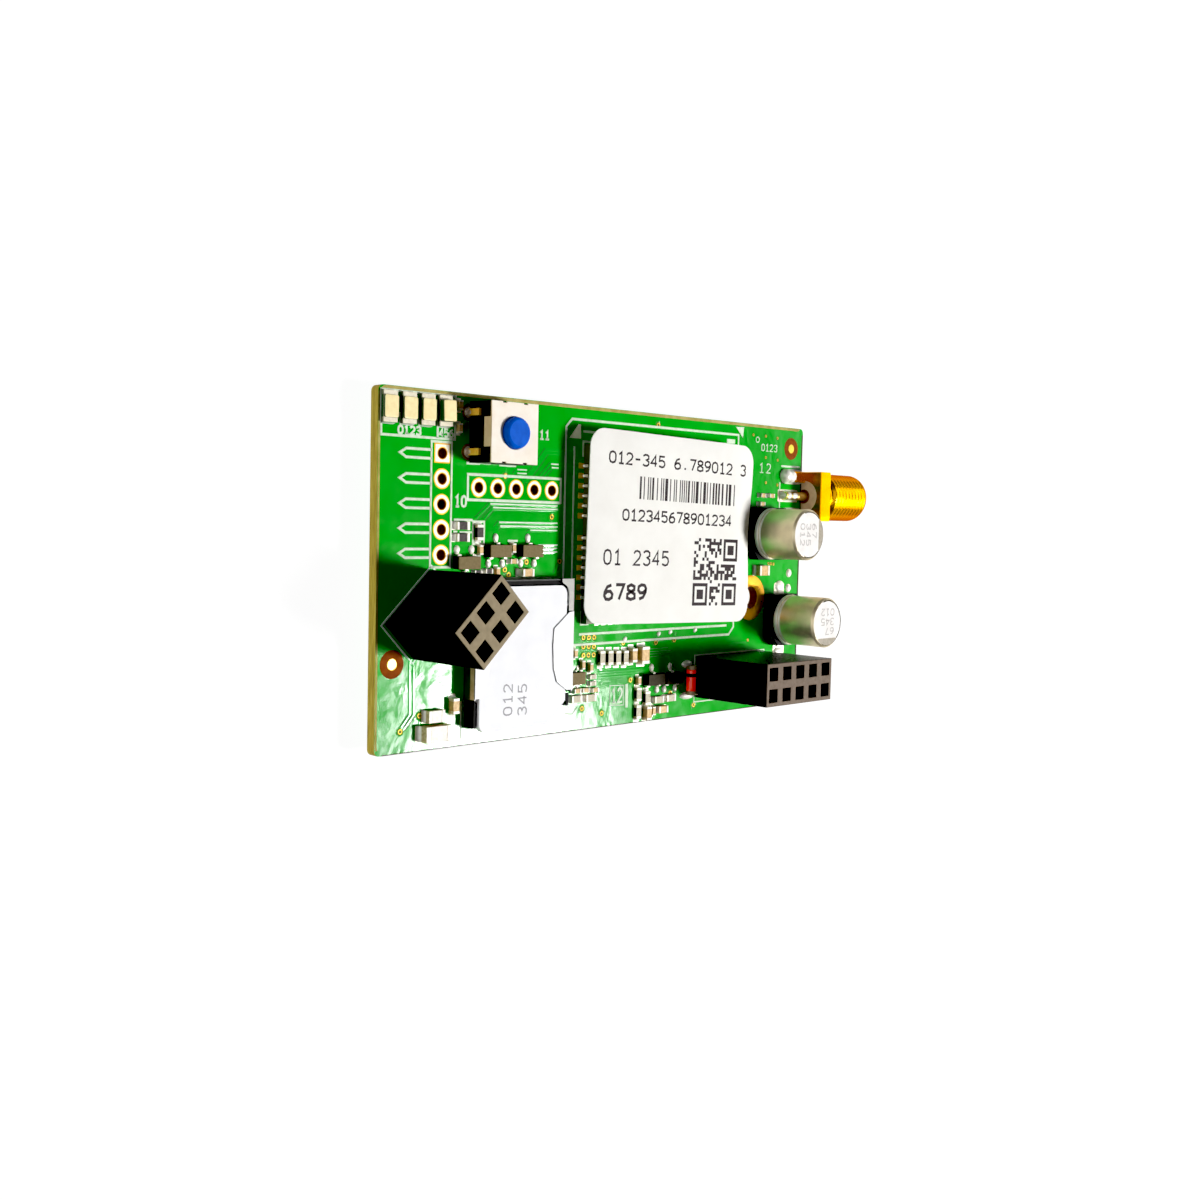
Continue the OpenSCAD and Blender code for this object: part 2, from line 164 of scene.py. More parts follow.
def moulded(name, low, high, top_low, top_high, rough=(0.46, 0.58), spec=0.06, grain=6e-6, scale=1500.0,
            other=None, beyond=0.0, along="X"):
    """Two-tone base colour by facing: faces that look up take the top colours and the other faces the dark colours; the
    lighter tops are painted light and sheen, the darker sides painted shade.

    other gives a second pair of top colours for the upper faces that lie further along the axis than beyond, a painted
    light level of their own for that group of parts."""
    m, t, b = blank(name)
    geo = t.nodes.new("ShaderNodeNewGeometry")
    sep = t.nodes.new("ShaderNodeSeparateXYZ")
    t.links.new(geo.outputs["Normal"], sep.inputs["Vector"])
    n = noise(t, scale, 5.0)
    dark = ramp(t, n.outputs["Fac"], [(0.32, low), (0.68, high)])
    # painted light: colours of the upward faces
    lit_top = ramp(t, n.outputs["Fac"], [(0.32, top_low), (0.68, top_high)])
    top = lit_top.outputs["Color"]
    if other:
        tc = t.nodes.new("ShaderNodeTexCoord")
        at = t.nodes.new("ShaderNodeSeparateXYZ")
        t.links.new(tc.outputs["Object"], at.inputs["Vector"])
        far = t.nodes.new("ShaderNodeMath"); far.operation = "GREATER_THAN"
        far.inputs[1].default_value = P(beyond, 0)[0] if along == "X" else P(0, beyond)[1]
        t.links.new(at.outputs[along], far.inputs[0])
        lit_top_far = ramp(t, n.outputs["Fac"], [(0.32, other[0]), (0.68, other[1])])
        pick = t.nodes.new("ShaderNodeMix"); pick.data_type = "RGBA"
        t.links.new(far.outputs[0], pick.inputs["Factor"])
        t.links.new(lit_top.outputs["Color"], pick.inputs[6])
        t.links.new(lit_top_far.outputs["Color"], pick.inputs[7])
        top = pick.outputs[2]
    # painted light and shade: upward faces blend to the top colours, the rest keep the dark colours
    up = spread(t, sep.outputs["Z"], 0.0, 1.0, 0.55, 0.95)
    mix = t.nodes.new("ShaderNodeMix"); mix.data_type = "RGBA"
    t.links.new(up.outputs["Result"], mix.inputs["Factor"])
    t.links.new(dark.outputs["Color"], mix.inputs[6])
    t.links.new(top, mix.inputs[7])
    t.links.new(mix.outputs[2], b.inputs["Base Color"])
    b.inputs["Specular IOR Level"].default_value = spec
    n2 = noise(t, scale * 2.3, 3.0)
    r = spread(t, n2.outputs["Fac"], rough[0], rough[1])
    t.links.new(r.outputs["Result"], b.inputs["Roughness"])
    n3 = noise(t, 6000.0, 3.0)
    bump(t, b, n3.outputs["Fac"], grain)
    return m


def gilded(name, low, high, shade_low, shade_high, rough):
    """Polished gold plate; the faces turned to the board get a dark brown base colour, which is painted shade."""
    m, t, b = blank(name)
    geo = t.nodes.new("ShaderNodeNewGeometry")
    sep = t.nodes.new("ShaderNodeSeparateXYZ")
    t.links.new(geo.outputs["Normal"], sep.inputs["Vector"])
    n = noise(t, 260.0, 3.0)
    bright = ramp(t, n.outputs["Fac"], [(0.32, low), (0.68, high)])
    painted_shade = ramp(t, n.outputs["Fac"], [(0.32, shade_low), (0.68, shade_high)])
    # painted shade on the faces turned towards -X, to the board
    back = spread(t, sep.outputs["X"], 1.0, 0.0, -0.95, -0.6)
    mix = t.nodes.new("ShaderNodeMix"); mix.data_type = "RGBA"
    t.links.new(back.outputs["Result"], mix.inputs["Factor"])
    t.links.new(bright.outputs["Color"], mix.inputs[6])
    t.links.new(painted_shade.outputs["Color"], mix.inputs[7])
    t.links.new(mix.outputs[2], b.inputs["Base Color"])
    b.inputs["Metallic"].default_value = 1.0
    b.inputs["Specular Tint"].default_value = (0.45, 0.16, 0.0, 1)
    n2 = noise(t, 500.0, 3.0)
    r = spread(t, n2.outputs["Fac"], rough[0], rough[1])
    t.links.new(r.outputs["Result"], b.inputs["Roughness"])
    n3 = noise(t, 420.0, 3.0)
    bump(t, b, n3.outputs["Fac"], 4e-6)
    return m


MASK = board_material("mask_green", (0.003, 0.36, 0.010), (0.008, 0.45, 0.018))
MASK_TRACE = board_material("mask_over_trace", (0.004, 0.40, 0.014), (0.010, 0.47, 0.024), (0.08, 0.13), 5.0e-6, 1.2e-6, 0.5)
JET, JET2 = (0.002, 0.002, 0.002), (0.006, 0.005, 0.005)
M = {
    "module": surface("module_laminate", (0.06, 0.07, 0.015), (0.12, 0.12, 0.03), (0.35, 0.5), scale=500),
    "silk": surface("screen_ink", (0.60, 0.72, 0.54), (0.76, 0.86, 0.70), (0.5, 0.65), scale=2500, relief=4e-6, spec=0.3),
    "solder": surface("solder", (0.88, 0.86, 0.80), (0.98, 0.97, 0.93), (0.30, 0.44), metal=0.6, scale=1500, relief=1.2e-5, relief_scale=1800),
    # solder_lit: a paler, less metallic copy of solder for the mounds that lie in the light, painted light
    "solder_lit": surface("solder_bright", (0.90, 0.86, 0.76), (1.0, 0.97, 0.90), (0.28, 0.42), metal=0.15, scale=1500, relief=1.2e-5, relief_scale=1800),
    "leg_solder": surface("leg_solder", (0.34, 0.20, 0.10), (1.0, 0.90, 0.74), (0.28, 0.42), metal=0.2, scale=2600, relief=1.2e-5, relief_scale=1800),
    "can_ink": surface("can_ink", (0.50, 0.47, 0.45), (0.62, 0.59, 0.57), (0.6, 0.7), scale=3000, spec=0.1),
    # tan strip on the card holder's wall: painted light
    "edge_highlight": surface("holder_edge_highlight", (0.52, 0.31, 0.15), (0.70, 0.46, 0.26), (0.4, 0.55), scale=1500, relief=4e-6, spec=0.3),
    "pad": surface("plated_pad", (0.93, 0.84, 0.64), (0.98, 0.92, 0.78), (0.30, 0.45), metal=0.3, scale=1800, relief=4e-6),
    "ring": surface("gold_ring", (0.80, 0.34, 0.010), (0.95, 0.50, 0.030), (0.35, 0.5), metal=0.5, scale=900, relief=4e-6),
    "fix_ring": surface("fixing_gold", (0.92, 0.40, 0.015), (1.0, 0.56, 0.05), (0.26, 0.38), metal=0.8, scale=700, relief=4e-6, relief_scale=1500),
    "via": surface("plated_via", (0.70, 0.50, 0.02), (0.90, 0.68, 0.06), (0.3, 0.45), metal=0.4, scale=3000),
    "via_rim": surface("via_rim", (0.05, 0.045, 0.006), (0.12, 0.10, 0.012), (0.4, 0.55), scale=3000, spec=0.2),
    # the dark red-brown on the plated hole walls and hole mouths is painted shade inside the holes
    "hole_shade": surface("painted_hole_shade", (0.05, 0.005, 0.002), (0.14, 0.014, 0.004), (0.5, 0.7), scale=4000, spec=0.1),
    "bare": surface("bare_laminate", (0.20, 0.042, 0.004), (0.30, 0.068, 0.006), (0.55, 0.7), scale=1600, relief=5e-6, spec=0.08),
    "margin": surface("bare_margin", (0.34, 0.27, 0.06), (0.50, 0.42, 0.14), (0.55, 0.7), scale=900, relief=6e-6, spec=0.2),
    # dark strips on board edges and can rims: painted shade
    "edge_dark_shade": surface("painted_edge_shade", (0.03, 0.026, 0.012), (0.09, 0.075, 0.035), (0.6, 0.8), scale=1200, spec=0.1),
    # dark green strips along diagonal traces: painted shade
    "trace_edge_shade": surface("trace_edge_shade", (0.002, 0.10, 0.004), (0.005, 0.15, 0.007), (0.3, 0.45), scale=900, spec=0.15),
    # lamp parts: the dark greenish side colours are painted shade with a painted green reflection of the board, under
    # the lit top colours
    "lamp_base": moulded("lamp_base", (0.012, 0.060, 0.012), (0.024, 0.085, 0.020), (0.74, 0.62, 0.40), (0.86, 0.76, 0.55), (0.45, 0.6), spec=0.2, grain=5e-6, scale=1800.0),
    "lamp_end": moulded("lamp_end", (0.10, 0.13, 0.06), (0.18, 0.20, 0.10), (0.74, 0.66, 0.49), (0.90, 0.83, 0.66), (0.35, 0.5), spec=0.4, grain=8e-6, scale=2500.0),
    "lamp_lens": moulded("lamp_lens", (0.020, 0.085, 0.016), (0.040, 0.115, 0.026), (0.93, 0.76, 0.37), (1.0, 0.88, 0.49), (0.3, 0.45), spec=0.3, grain=6e-6, scale=1500.0),
    "black": surface("black_plastic", JET, JET2, (0.46, 0.58), scale=1500, relief=6e-6, relief_scale=6000, spec=0.10),
    # headers: the taupe top colours are a painted sheen on black plastic, set apart for each header as their tops catch
    # different light
    "black3": moulded("header_black_a", JET, JET2, (0.29, 0.236, 0.152), (0.36, 0.295, 0.192), spec=0.02),
    "black5": moulded("header_black_b", JET, JET2, (0.164, 0.121, 0.088), (0.202, 0.151, 0.111), rough=(0.24, 0.32), spec=0.07),
    "blue": surface("blue_plastic", (0.002, 0.090, 0.54), (0.004, 0.120, 0.66), (0.38, 0.5), scale=1200, relief=4e-6, relief_scale=5000, spec=0.10),
    # chip bodies: the taupe tops are a painted sheen; past X 35 the darker tops are a painted cast shadow from the tall
    # header
    "chip": moulded("chip_black", JET, JET2, (0.20, 0.155, 0.074), (0.245, 0.190, 0.095), (0.50, 0.62), grain=8e-6, scale=3500.0, other=((0.050, 0.042, 0.026), (0.070, 0.060, 0.037)), beyond=35.0),
    # resistors: the slightly paler tops are a painted sheen; past X 25 the pale tan tops are painted glare on black
    # resistors
    "resistor": moulded("resistor_black", (0.006, 0.005, 0.004), (0.016, 0.013, 0.010), (0.030, 0.020, 0.018), (0.065, 0.046, 0.042), (0.35, 0.5), spec=0.2, scale=3500.0, other=((0.44, 0.39, 0.26), (0.62, 0.57, 0.42)), beyond=25.0),
    # ceramic capacitors: the darker side colours are painted shade; before X 8.8 the near-white tops are painted glare,
    # past it the tan tops are the capacitors' own colour
    "ceramic": moulded("capacitor_tan", (0.46, 0.26, 0.08), (0.68, 0.44, 0.17), (0.86, 0.80, 0.70), (0.97, 0.93, 0.86), (0.35, 0.5), spec=0.3, grain=5e-6, scale=3000.0, other=((0.58, 0.35, 0.13), (0.80, 0.56, 0.24)), beyond=8.8),
    "tin": surface("tinned_metal", (0.80, 0.75, 0.62), (0.93, 0.89, 0.78), (0.32, 0.46), metal=0.4, scale=2500, relief=6e-6),
    # chip end caps: the brown side colours are painted shade under the pale tin tops
    "chip_end": moulded("chip_end", (0.50, 0.35, 0.17), (0.84, 0.68, 0.44), (0.84, 0.79, 0.68), (0.97, 0.94, 0.86), (0.3, 0.45), spec=0.5, grain=6e-6, scale=2600.0),
    "brass": surface("switch_leg", (1.0, 0.50, 0.04), (1.0, 0.66, 0.10), (0.3, 0.42), metal=0.0, scale=2500),
    "spring": surface("spring_steel", (0.62, 0.60, 0.54), (0.76, 0.74, 0.68), (0.28, 0.4), metal=1.0, scale=2200),
    "steel": surface("plated_steel", (0.80, 0.78, 0.74), (0.93, 0.91, 0.88), (0.30, 0.42), metal=0.8, scale=700, stretch=(1, 6, 1)),
    # holder shell: the dark green side colours are painted shade and painted reflection of the board; the tops past Y
    # 16.75, on the back wall, are painted black shade
    "shell": moulded("shell_steel", (0.022, 0.030, 0.020), (0.045, 0.055, 0.038), (0.82, 0.81, 0.83), (0.92, 0.91, 0.93), (0.32, 0.44), spec=0.3, grain=3e-6, scale=700.0, other=((0.004, 0.004, 0.005), (0.012, 0.011, 0.013)), beyond=16.75, along="Y"),
    "edge_gold": surface("edge_gold", (0.95, 0.50, 0.05), (1.0, 0.64, 0.10), (0.35, 0.5), metal=0.15, scale=1800, relief=4e-6),
    # dark brown switch pads: painted shade
    "leg_pad": surface("leg_pad", (0.14, 0.065, 0.012), (0.30, 0.15, 0.03), (0.4, 0.55), scale=3000, spec=0.3),
    # thin ink taking on the green below, made paler than the lit ink: partly real, partly painted light for lines in
    # shade
    "silk_green": surface("screen_ink_thin_lightened", (0.74, 0.96, 0.74), (0.86, 1.0, 0.86), (0.5, 0.65), scale=2500, relief=4e-6, spec=0.3),
    # faint pale strips on short traces: painted highlights
    "faint_trace_glint": surface("faint_trace_glint", (0.10, 0.36, 0.10), (0.17, 0.46, 0.17), (0.3, 0.45), scale=2500, spec=0.3),
    # pale strips on horizontal traces: painted glints
    "glint": surface("painted_trace_glint", (0.62, 0.74, 0.58), (0.80, 0.88, 0.74), (0.3, 0.45), scale=2500, spec=0.4),
    "holder_grey": surface("holder_plate", (0.44, 0.43, 0.40), (0.54, 0.53, 0.49), (0.4, 0.5), scale=900, relief=3e-6, spec=0.3),
    "cap_end": surface("diode_end", (0.14, 0.10, 0.05), (0.30, 0.22, 0.12), (0.35, 0.5), metal=0.3, scale=2500),
    # dark ring round the jack pin: painted shade
    "recess": surface("jack_recess", (0.09, 0.018, 0.003), (0.18, 0.045, 0.008), (0.4, 0.55), scale=2500, spec=0.2),
    # switch cover: the tan-brown side colours are painted shade under the cream top
    "cover": moulded("switch_cover", (0.60, 0.43, 0.22), (0.74, 0.56, 0.34), (0.89, 0.79, 0.65), (0.96, 0.89, 0.78), (0.4, 0.5), spec=0.3, grain=3e-6, scale=500.0),
    "can": surface("can_aluminium", (0.66, 0.56, 0.35), (0.86, 0.74, 0.49), (0.36, 0.48), metal=0.75, scale=420, relief=3e-6, relief_scale=900),
    "can_top": surface("can_top", (0.82, 0.79, 0.76), (0.92, 0.89, 0.86), (0.5, 0.6), scale=700, relief=5e-6, relief_scale=2200, spec=0.15),
    # gold of the jack, with painted shade on the faces turned to the board
    "gold": gilded("gold_plate", (1.0, 0.42, 0.004), (1.0, 0.55, 0.016), (0.11, 0.040, 0.005), (0.21, 0.085, 0.012), (0.20, 0.28)),
    "contact": surface("gold_contact", (0.93, 0.66, 0.20), (1.0, 0.78, 0.32), (0.25, 0.35), metal=1.0, scale=1800),
    "ptfe": surface("white_insulator", (0.70, 0.46, 0.30), (0.82, 0.57, 0.39), (0.45, 0.55), scale=1500),
    "paper": surface("label_paper", (0.850, 0.832, 0.785), (0.905, 0.890, 0.846), (0.55, 0.7), scale=260, relief=4e-6, relief_scale=2500, spec=0.2),
    "ink": surface("printed_ink", (0.014, 0.008, 0.010), (0.040, 0.024, 0.026), (0.5, 0.65), scale=5000, spec=0.2),
    "card": surface("white_card", (0.90, 0.90, 0.92), (0.95, 0.95, 0.97), (0.5, 0.6), scale=400, relief=2e-6, spec=0.12),
    "grey_ink": surface("grey_ink", (0.30, 0.29, 0.31), (0.42, 0.41, 0.43), (0.6, 0.7), scale=3000, spec=0.1),
    "dark_ink": surface("can_mark", (0.33, 0.29, 0.22), (0.45, 0.40, 0.32), (0.4, 0.5), scale=2500, spec=0.2),
    "glass": surface("red_glass", (0.95, 0.022, 0.002), (1.0, 0.050, 0.006), (0.06, 0.12), scale=1200, coat=0.2),
}

# painted glow: the diode glass emits a dim red light though it is no lamp
lens = M["glass"].node_tree.nodes["Principled BSDF"]
lens.inputs["Emission Color"].default_value = (1.0, 0.020, 0.0, 1)
lens.inputs["Emission Strength"].default_value = 0.22

NODE_LOOK = {
    "module_board": "module", "led_bases": "lamp_base", "led_lenses": "lamp_lens", "switch_base": "black",
    "switch_leads": "brass", "switch_dome": "spring", "switch_button": "blue", "switch_cover": "cover",
    "header_2x5_housing": "black5", "header_2x5_contacts": "contact", "header_2x3_housing": "black3",
    "header_2x3_contacts": "contact", "antenna_jack_body": "gold", "antenna_jack_insulator": "ptfe",
    "antenna_jack_contact": "contact", "capacitor_1_base": "black", "capacitor_1_can": "can",
    "capacitor_2_base": "black", "capacitor_2_can": "can", "capacitor_terminals": "tin",
    "module_processor": "chip", "module_amplifier": "chip", "module_crystal": "tin", "module_shield": "steel",
    "module_label": "paper", "card_holder_base": "black", "card_holder_shell": "shell", "card_contacts": "contact",
    "sim_card": "card", "transistor_bodies": "chip", "transistor_leads": "tin", "regulator_body": "chip",
    "regulator_leads": "tin", "diode_glass": "glass", "diode_end_caps": "cap_end", "chip_resistors": "resistor",
    "chip_capacitors": "ceramic", "chip_terminals": "chip_end"}
for n, o in NODES.items():
    o.data.materials.clear()
    o.data.materials.append(MASK if n == "circuit_board" else M[NODE_LOOK[n]])

# Moulded and pressed edges are never knife sharp
EDGE = {"circuit_board": 0.05, "header_2x5_housing": 0.10, "header_2x3_housing": 0.10, "switch_base": 0.08,
        "switch_cover": 0.05, "switch_button": 0.10, "led_bases": 0.06, "led_lenses": 0.16, "capacitor_1_base": 0.15,
        "capacitor_2_base": 0.15, "transistor_bodies": 0.09, "regulator_body": 0.09, "chip_resistors": 0.03,
        "chip_capacitors": 0.05, "chip_terminals": 0.06, "sim_card": 0.06, "card_holder_base": 0.06,
        "card_holder_shell": 0.05, "diode_glass": 0.2, "diode_end_caps": 0.12, "module_shield": 0.2,
        "capacitor_1_can": 0.16, "capacitor_2_can": 0.16, "transistor_leads": 0.03, "regulator_leads": 0.03,
        "capacitor_terminals": 0.04, "module_processor": 0.06, "module_amplifier": 0.06, "module_crystal": 0.1,
        "switch_leads": 0.04, "header_2x5_contacts": 0.03, "header_2x3_contacts": 0.03}
for n, w in EDGE.items():
    o = NODES[n]
    wd = o.modifiers.new("weld", "WELD")
    wd.merge_threshold = 1e-6
    bv = o.modifiers.new("edge", "BEVEL")
    bv.width = w / 1000.0
    bv.segments = 3
    bv.limit_method = "ANGLE"
    bv.angle_limit = math.radians(38)
    bv.harden_normals = False
    bv.use_clamp_overlap = True


# ------------------------------------------------------------------ geometry
def poly_circle(cx, cy, r, n=32, a0=0.0):
    return [(cx + r * math.cos(a0 + 2 * math.pi * i / n), cy + r * math.sin(a0 + 2 * math.pi * i / n)) for i in range(n)]


def turned(pts, cx, cy, deg):
    c, s = math.cos(math.radians(deg)), math.sin(math.radians(deg))
    return [(cx + x * c - y * s, cy + x * s + y * c) for x, y in pts]


def round_rect(cx, cy, l, w, r, deg=0.0, k=5):
    r = min(r, l / 2 - 1e-4, w / 2 - 1e-4)
    pts = []
    for sx, sy, a in ((1, 1, 0), (-1, 1, 90), (-1, -1, 180), (1, -1, 270)):
        for i in range(k + 1):
            t = math.radians(a + 90.0 * i / k)
            pts.append((sx * (l / 2 - r) + r * math.cos(t), sy * (w / 2 - r) + r * math.sin(t)))
    return turned(pts, cx, cy, deg)


class Shape:
    def __init__(self):
        self.v, self.f = [], []

    def add(self, pts, faces):
        b = len(self.v)
        self.v += [P(*p) for p in pts]
        self.f += [tuple(b + i for i in f) for f in faces]

    def loft(self, rings, caps=(True, True), closed=False):
        n = len(rings[0])
        faces = []
        m = len(rings)
        for k in range(m if closed else m - 1):
            a, b = k * n, ((k + 1) % m) * n
            for i in range(n):
                j = (i + 1) % n
                faces.append((a + i, a + j, b + j, b + i))
        if caps[0] and not closed:
            faces.append(tuple(range(n - 1, -1, -1)))
        if caps[1] and not closed:
            faces.append(tuple((m - 1) * n + i for i in range(n)))
        self.add([p for r in rings for p in r], faces)

    def slab(self, pts, z0, z1, inset=0.01):
        """Flat shape with its upper edge eased; pts run counter-clockwise."""
        cx = sum(p[0] for p in pts) / len(pts)
        cy = sum(p[1] for p in pts) / len(pts)
        inner = []
        for x, y in pts:
            d = math.hypot(x - cx, y - cy)
            k = max(0.0, 1 - 1.2 * inset / d) if d > 0 else 1
            inner.append((cx + (x - cx) * k, cy + (y - cy) * k))
        e = min(inset, (z1 - z0) * 0.6)
        self.loft([[(x, y, z0) for x, y in pts], [(x, y, z1 - e) for x, y in pts], [(x, y, z1) for x, y in inner]])

    def line(self, pts, w, z0=0.0, z1=0.03, slope=0.03, closed=False, height=None):
        """Raised stroke along a polyline with sloped flanks."""
        n = len(pts)
        rings = []
        for i in range(n):
            b = Vector(pts[i])
            a = Vector(pts[i - 1]) if (i > 0 or closed) else None
            c = Vector(pts[(i + 1) % n]) if (i < n - 1 or closed) else None
            d1 = (b - a).normalized() if a is not None else (c - b).normalized()
            d2 = (c - b).normalized() if c is not None else d1
            n1 = Vector((-d1.y, d1.x))
            n2 = Vector((-d2.y, d2.x))
            m = n1 + n2
            m = m.normalized() if m.length > 1e-6 else n1
            s = 1.0 / max(0.45, m.dot(n1))
            lift = height(b.x, b.y) if height else 0.0
            o, q = m * (s * w / 2), m * (s * max(w / 2 - slope, w * 0.12))
            rings.append([(b.x - o.x, b.y - o.y, z0 + lift), (b.x - q.x, b.y - q.y, z1 + lift),
                          (b.x + q.x, b.y + q.y, z1 + lift), (b.x + o.x, b.y + o.y, z0 + lift)])
        self.loft(rings, closed=closed)

    def ring(self, cx, cy, ri, ro, z0, z1, n=40, square=False, ease=0.02, deg=0.0, dip=0.0):
        """Washer with an eased rim; square gives it a square outside, dip lowers the inner edge."""
        rings = []
        for i in range(n):
            a = 2 * math.pi * i / n
            R = ro / max(abs(math.cos(a)), abs(math.sin(a))) if square else ro
            ca, sa = math.cos(a + math.radians(deg)), math.sin(a + math.radians(deg))
            prof = [(ri, z0), (R, z0), (R, z1 - (z1 - z0) * 0.5), (R - ease, z1), (ri + ease, z1 - dip), (ri, z1 - dip - (z1 - z0 - dip) * 0.5)]
            rings.append([(cx + r * ca, cy + r * sa, z) for r, z in prof])
        self.loft(rings, closed=True)

    def lathe(self, cx, cy, prof, n=28, caps=(True, True)):
        rings = [[(cx + r * math.cos(2 * math.pi * i / n), cy + r * math.sin(2 * math.pi * i / n), z) for i in range(n)] for r, z in prof]
        self.loft(rings, caps=caps)

    def blob(self, cx, cy, rx, ry, h, z0=0.0, deg=0.0, n=20, m=6, flat=1.0):
        """Rounded mound of solder."""
        rings = []
        for k in range(m):
            t = (k / (m - 1)) * math.pi / 2 * 0.97
            s, z = math.cos(t) ** flat, math.sin(t)
            rings.append([(*q, z0 + h * z) for q in turned([(rx * s * math.cos(2 * math.pi * i / n), ry * s * math.sin(2 * math.pi * i / n)) for i in range(n)], cx, cy, deg)])
        self.loft(rings)

    def fillet(self, x, y, deg, out, w, h, z0=0.0, k=7):
        """Solder that climbs an end face at (x, y) and runs out along deg."""
        c, s = math.cos(math.radians(deg)), math.sin(math.radians(deg))
        prof = [(0.0, 0.0)] + [(out * (1 - i / k) ** 1.7, h * (i / k) ** 1.5) for i in range(k + 1)]
        rings = []
        for side, squeeze in ((-0.5, 0.55), (-0.42, 0.9), (-0.2, 1.0), (0.2, 1.0), (0.42, 0.9), (0.5, 0.55)):
            rings.append([(x + u * squeeze * c - side * w * s, y + u * squeeze * s + side * w * c, z0 + z * (0.8 + 0.2 * squeeze)) for u, z in prof])
        self.loft(rings)

    def box(self, x0, x1, y0, y1, z0, z1, e=0.03):
        self.slab([(x0, y0), (x1, y0), (x1, y1), (x0, y1)], z0, z1, e)

    def make(self, name, look, slot, smooth=False, body="board", angle=32.0):
        me = bpy.data.meshes.new(name)
        me.from_pydata(self.v, [], self.f)
        me.validate()
        o = bpy.data.objects.new(name, me)
        bpy.context.scene.collection.objects.link(o)
        me.materials.append(look)
        import bmesh
        bm = bmesh.new()
        bm.from_mesh(me)
        bmesh.ops.recalc_face_normals(bm, faces=bm.faces)
        bm.to_mesh(me)
        bm.free()
        if smooth:
            me.polygons.foreach_set("use_smooth", [True] * len(me.polygons))
            me.set_sharp_from_angle(angle=math.radians(angle))
        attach(o, body)
        return o


# Stroke figures, each in a box of 1 by 1
FIG = {
    "0": [[(0.5, 0), (0.15, 0.08), (0, 0.3), (0, 0.7), (0.15, 0.92), (0.5, 1), (0.85, 0.92), (1, 0.7), (1, 0.3), (0.85, 0.08), (0.5, 0)]],
    "1": [[(0.15, 0.78), (0.55, 1), (0.55, 0)], [(0.15, 0), (0.95, 0)]],
    "2": [[(0.02, 0.8), (0.2, 0.96), (0.5, 1), (0.85, 0.93), (1, 0.72), (0.85, 0.48), (0, 0), (1, 0)]],
    "3": [[(0, 0.88), (0.3, 1), (0.7, 1), (0.95, 0.88), (0.95, 0.65), (0.6, 0.53), (0.98, 0.38), (0.98, 0.14), (0.7, 0), (0.3, 0), (0, 0.12)]],
    "4": [[(0.75, 0), (0.75, 1), (0, 0.3), (1, 0.3)]],
    "5": [[(0.95, 1), (0.1, 1), (0.05, 0.57), (0.5, 0.64), (0.9, 0.52), (1, 0.3), (0.85, 0.07), (0.5, 0), (0, 0.1)]],
    "6": [[(0.85, 0.97), (0.35, 0.85), (0.05, 0.5), (0, 0.25), (0.2, 0.03), (0.6, 0), (0.95, 0.12), (1, 0.36), (0.75, 0.55), (0.35, 0.54), (0.03, 0.35)]],
    "7": [[(0, 1), (1, 1), (0.4, 0)]],
    "8": [[(0.5, 0.53), (0.1, 0.66), (0.08, 0.88), (0.5, 1), (0.92, 0.88), (0.9, 0.66), (0.5, 0.53), (0.03, 0.36), (0.02, 0.1), (0.5, 0), (0.98, 0.1), (0.97, 0.36), (0.5, 0.53)]],
    "9": [[(0.15, 0.03), (0.65, 0.15), (0.95, 0.5), (1, 0.75), (0.8, 0.97), (0.4, 1), (0.05, 0.88), (0, 0.64), (0.25, 0.45), (0.65, 0.46), (0.97, 0.65)]],
    "-": [[(0.1, 0.5), (0.9, 0.5)]],
    ".": [[(0.36, 0.08), (0.64, 0.08)]],
}


def figures(shape, text, x, y, w, h, step, stroke, z0, z1, deg=0.0, place=None, height=None):
    """Plain figures from (x, y), along deg; place maps a drawn point onto the board."""
    c, s = math.cos(math.radians(deg)), math.sin(math.radians(deg))
    for i, ch in enumerate(text):
        for path in FIG.get(ch, []):
            pts = []
            for u, v in path:
                a, b = i * step + u * w, v * h
                q = (x + a * c - b * s, y + a * s + b * c)
                pts.append(place(*q) if place else q)
            loop = len(pts) > 3 and (Vector(pts[0]) - Vector(pts[-1])).length < 1e-6
            shape.line(pts[:-1] if loop else pts, stroke, z0, z1, 0.004, closed=loop, height=height)


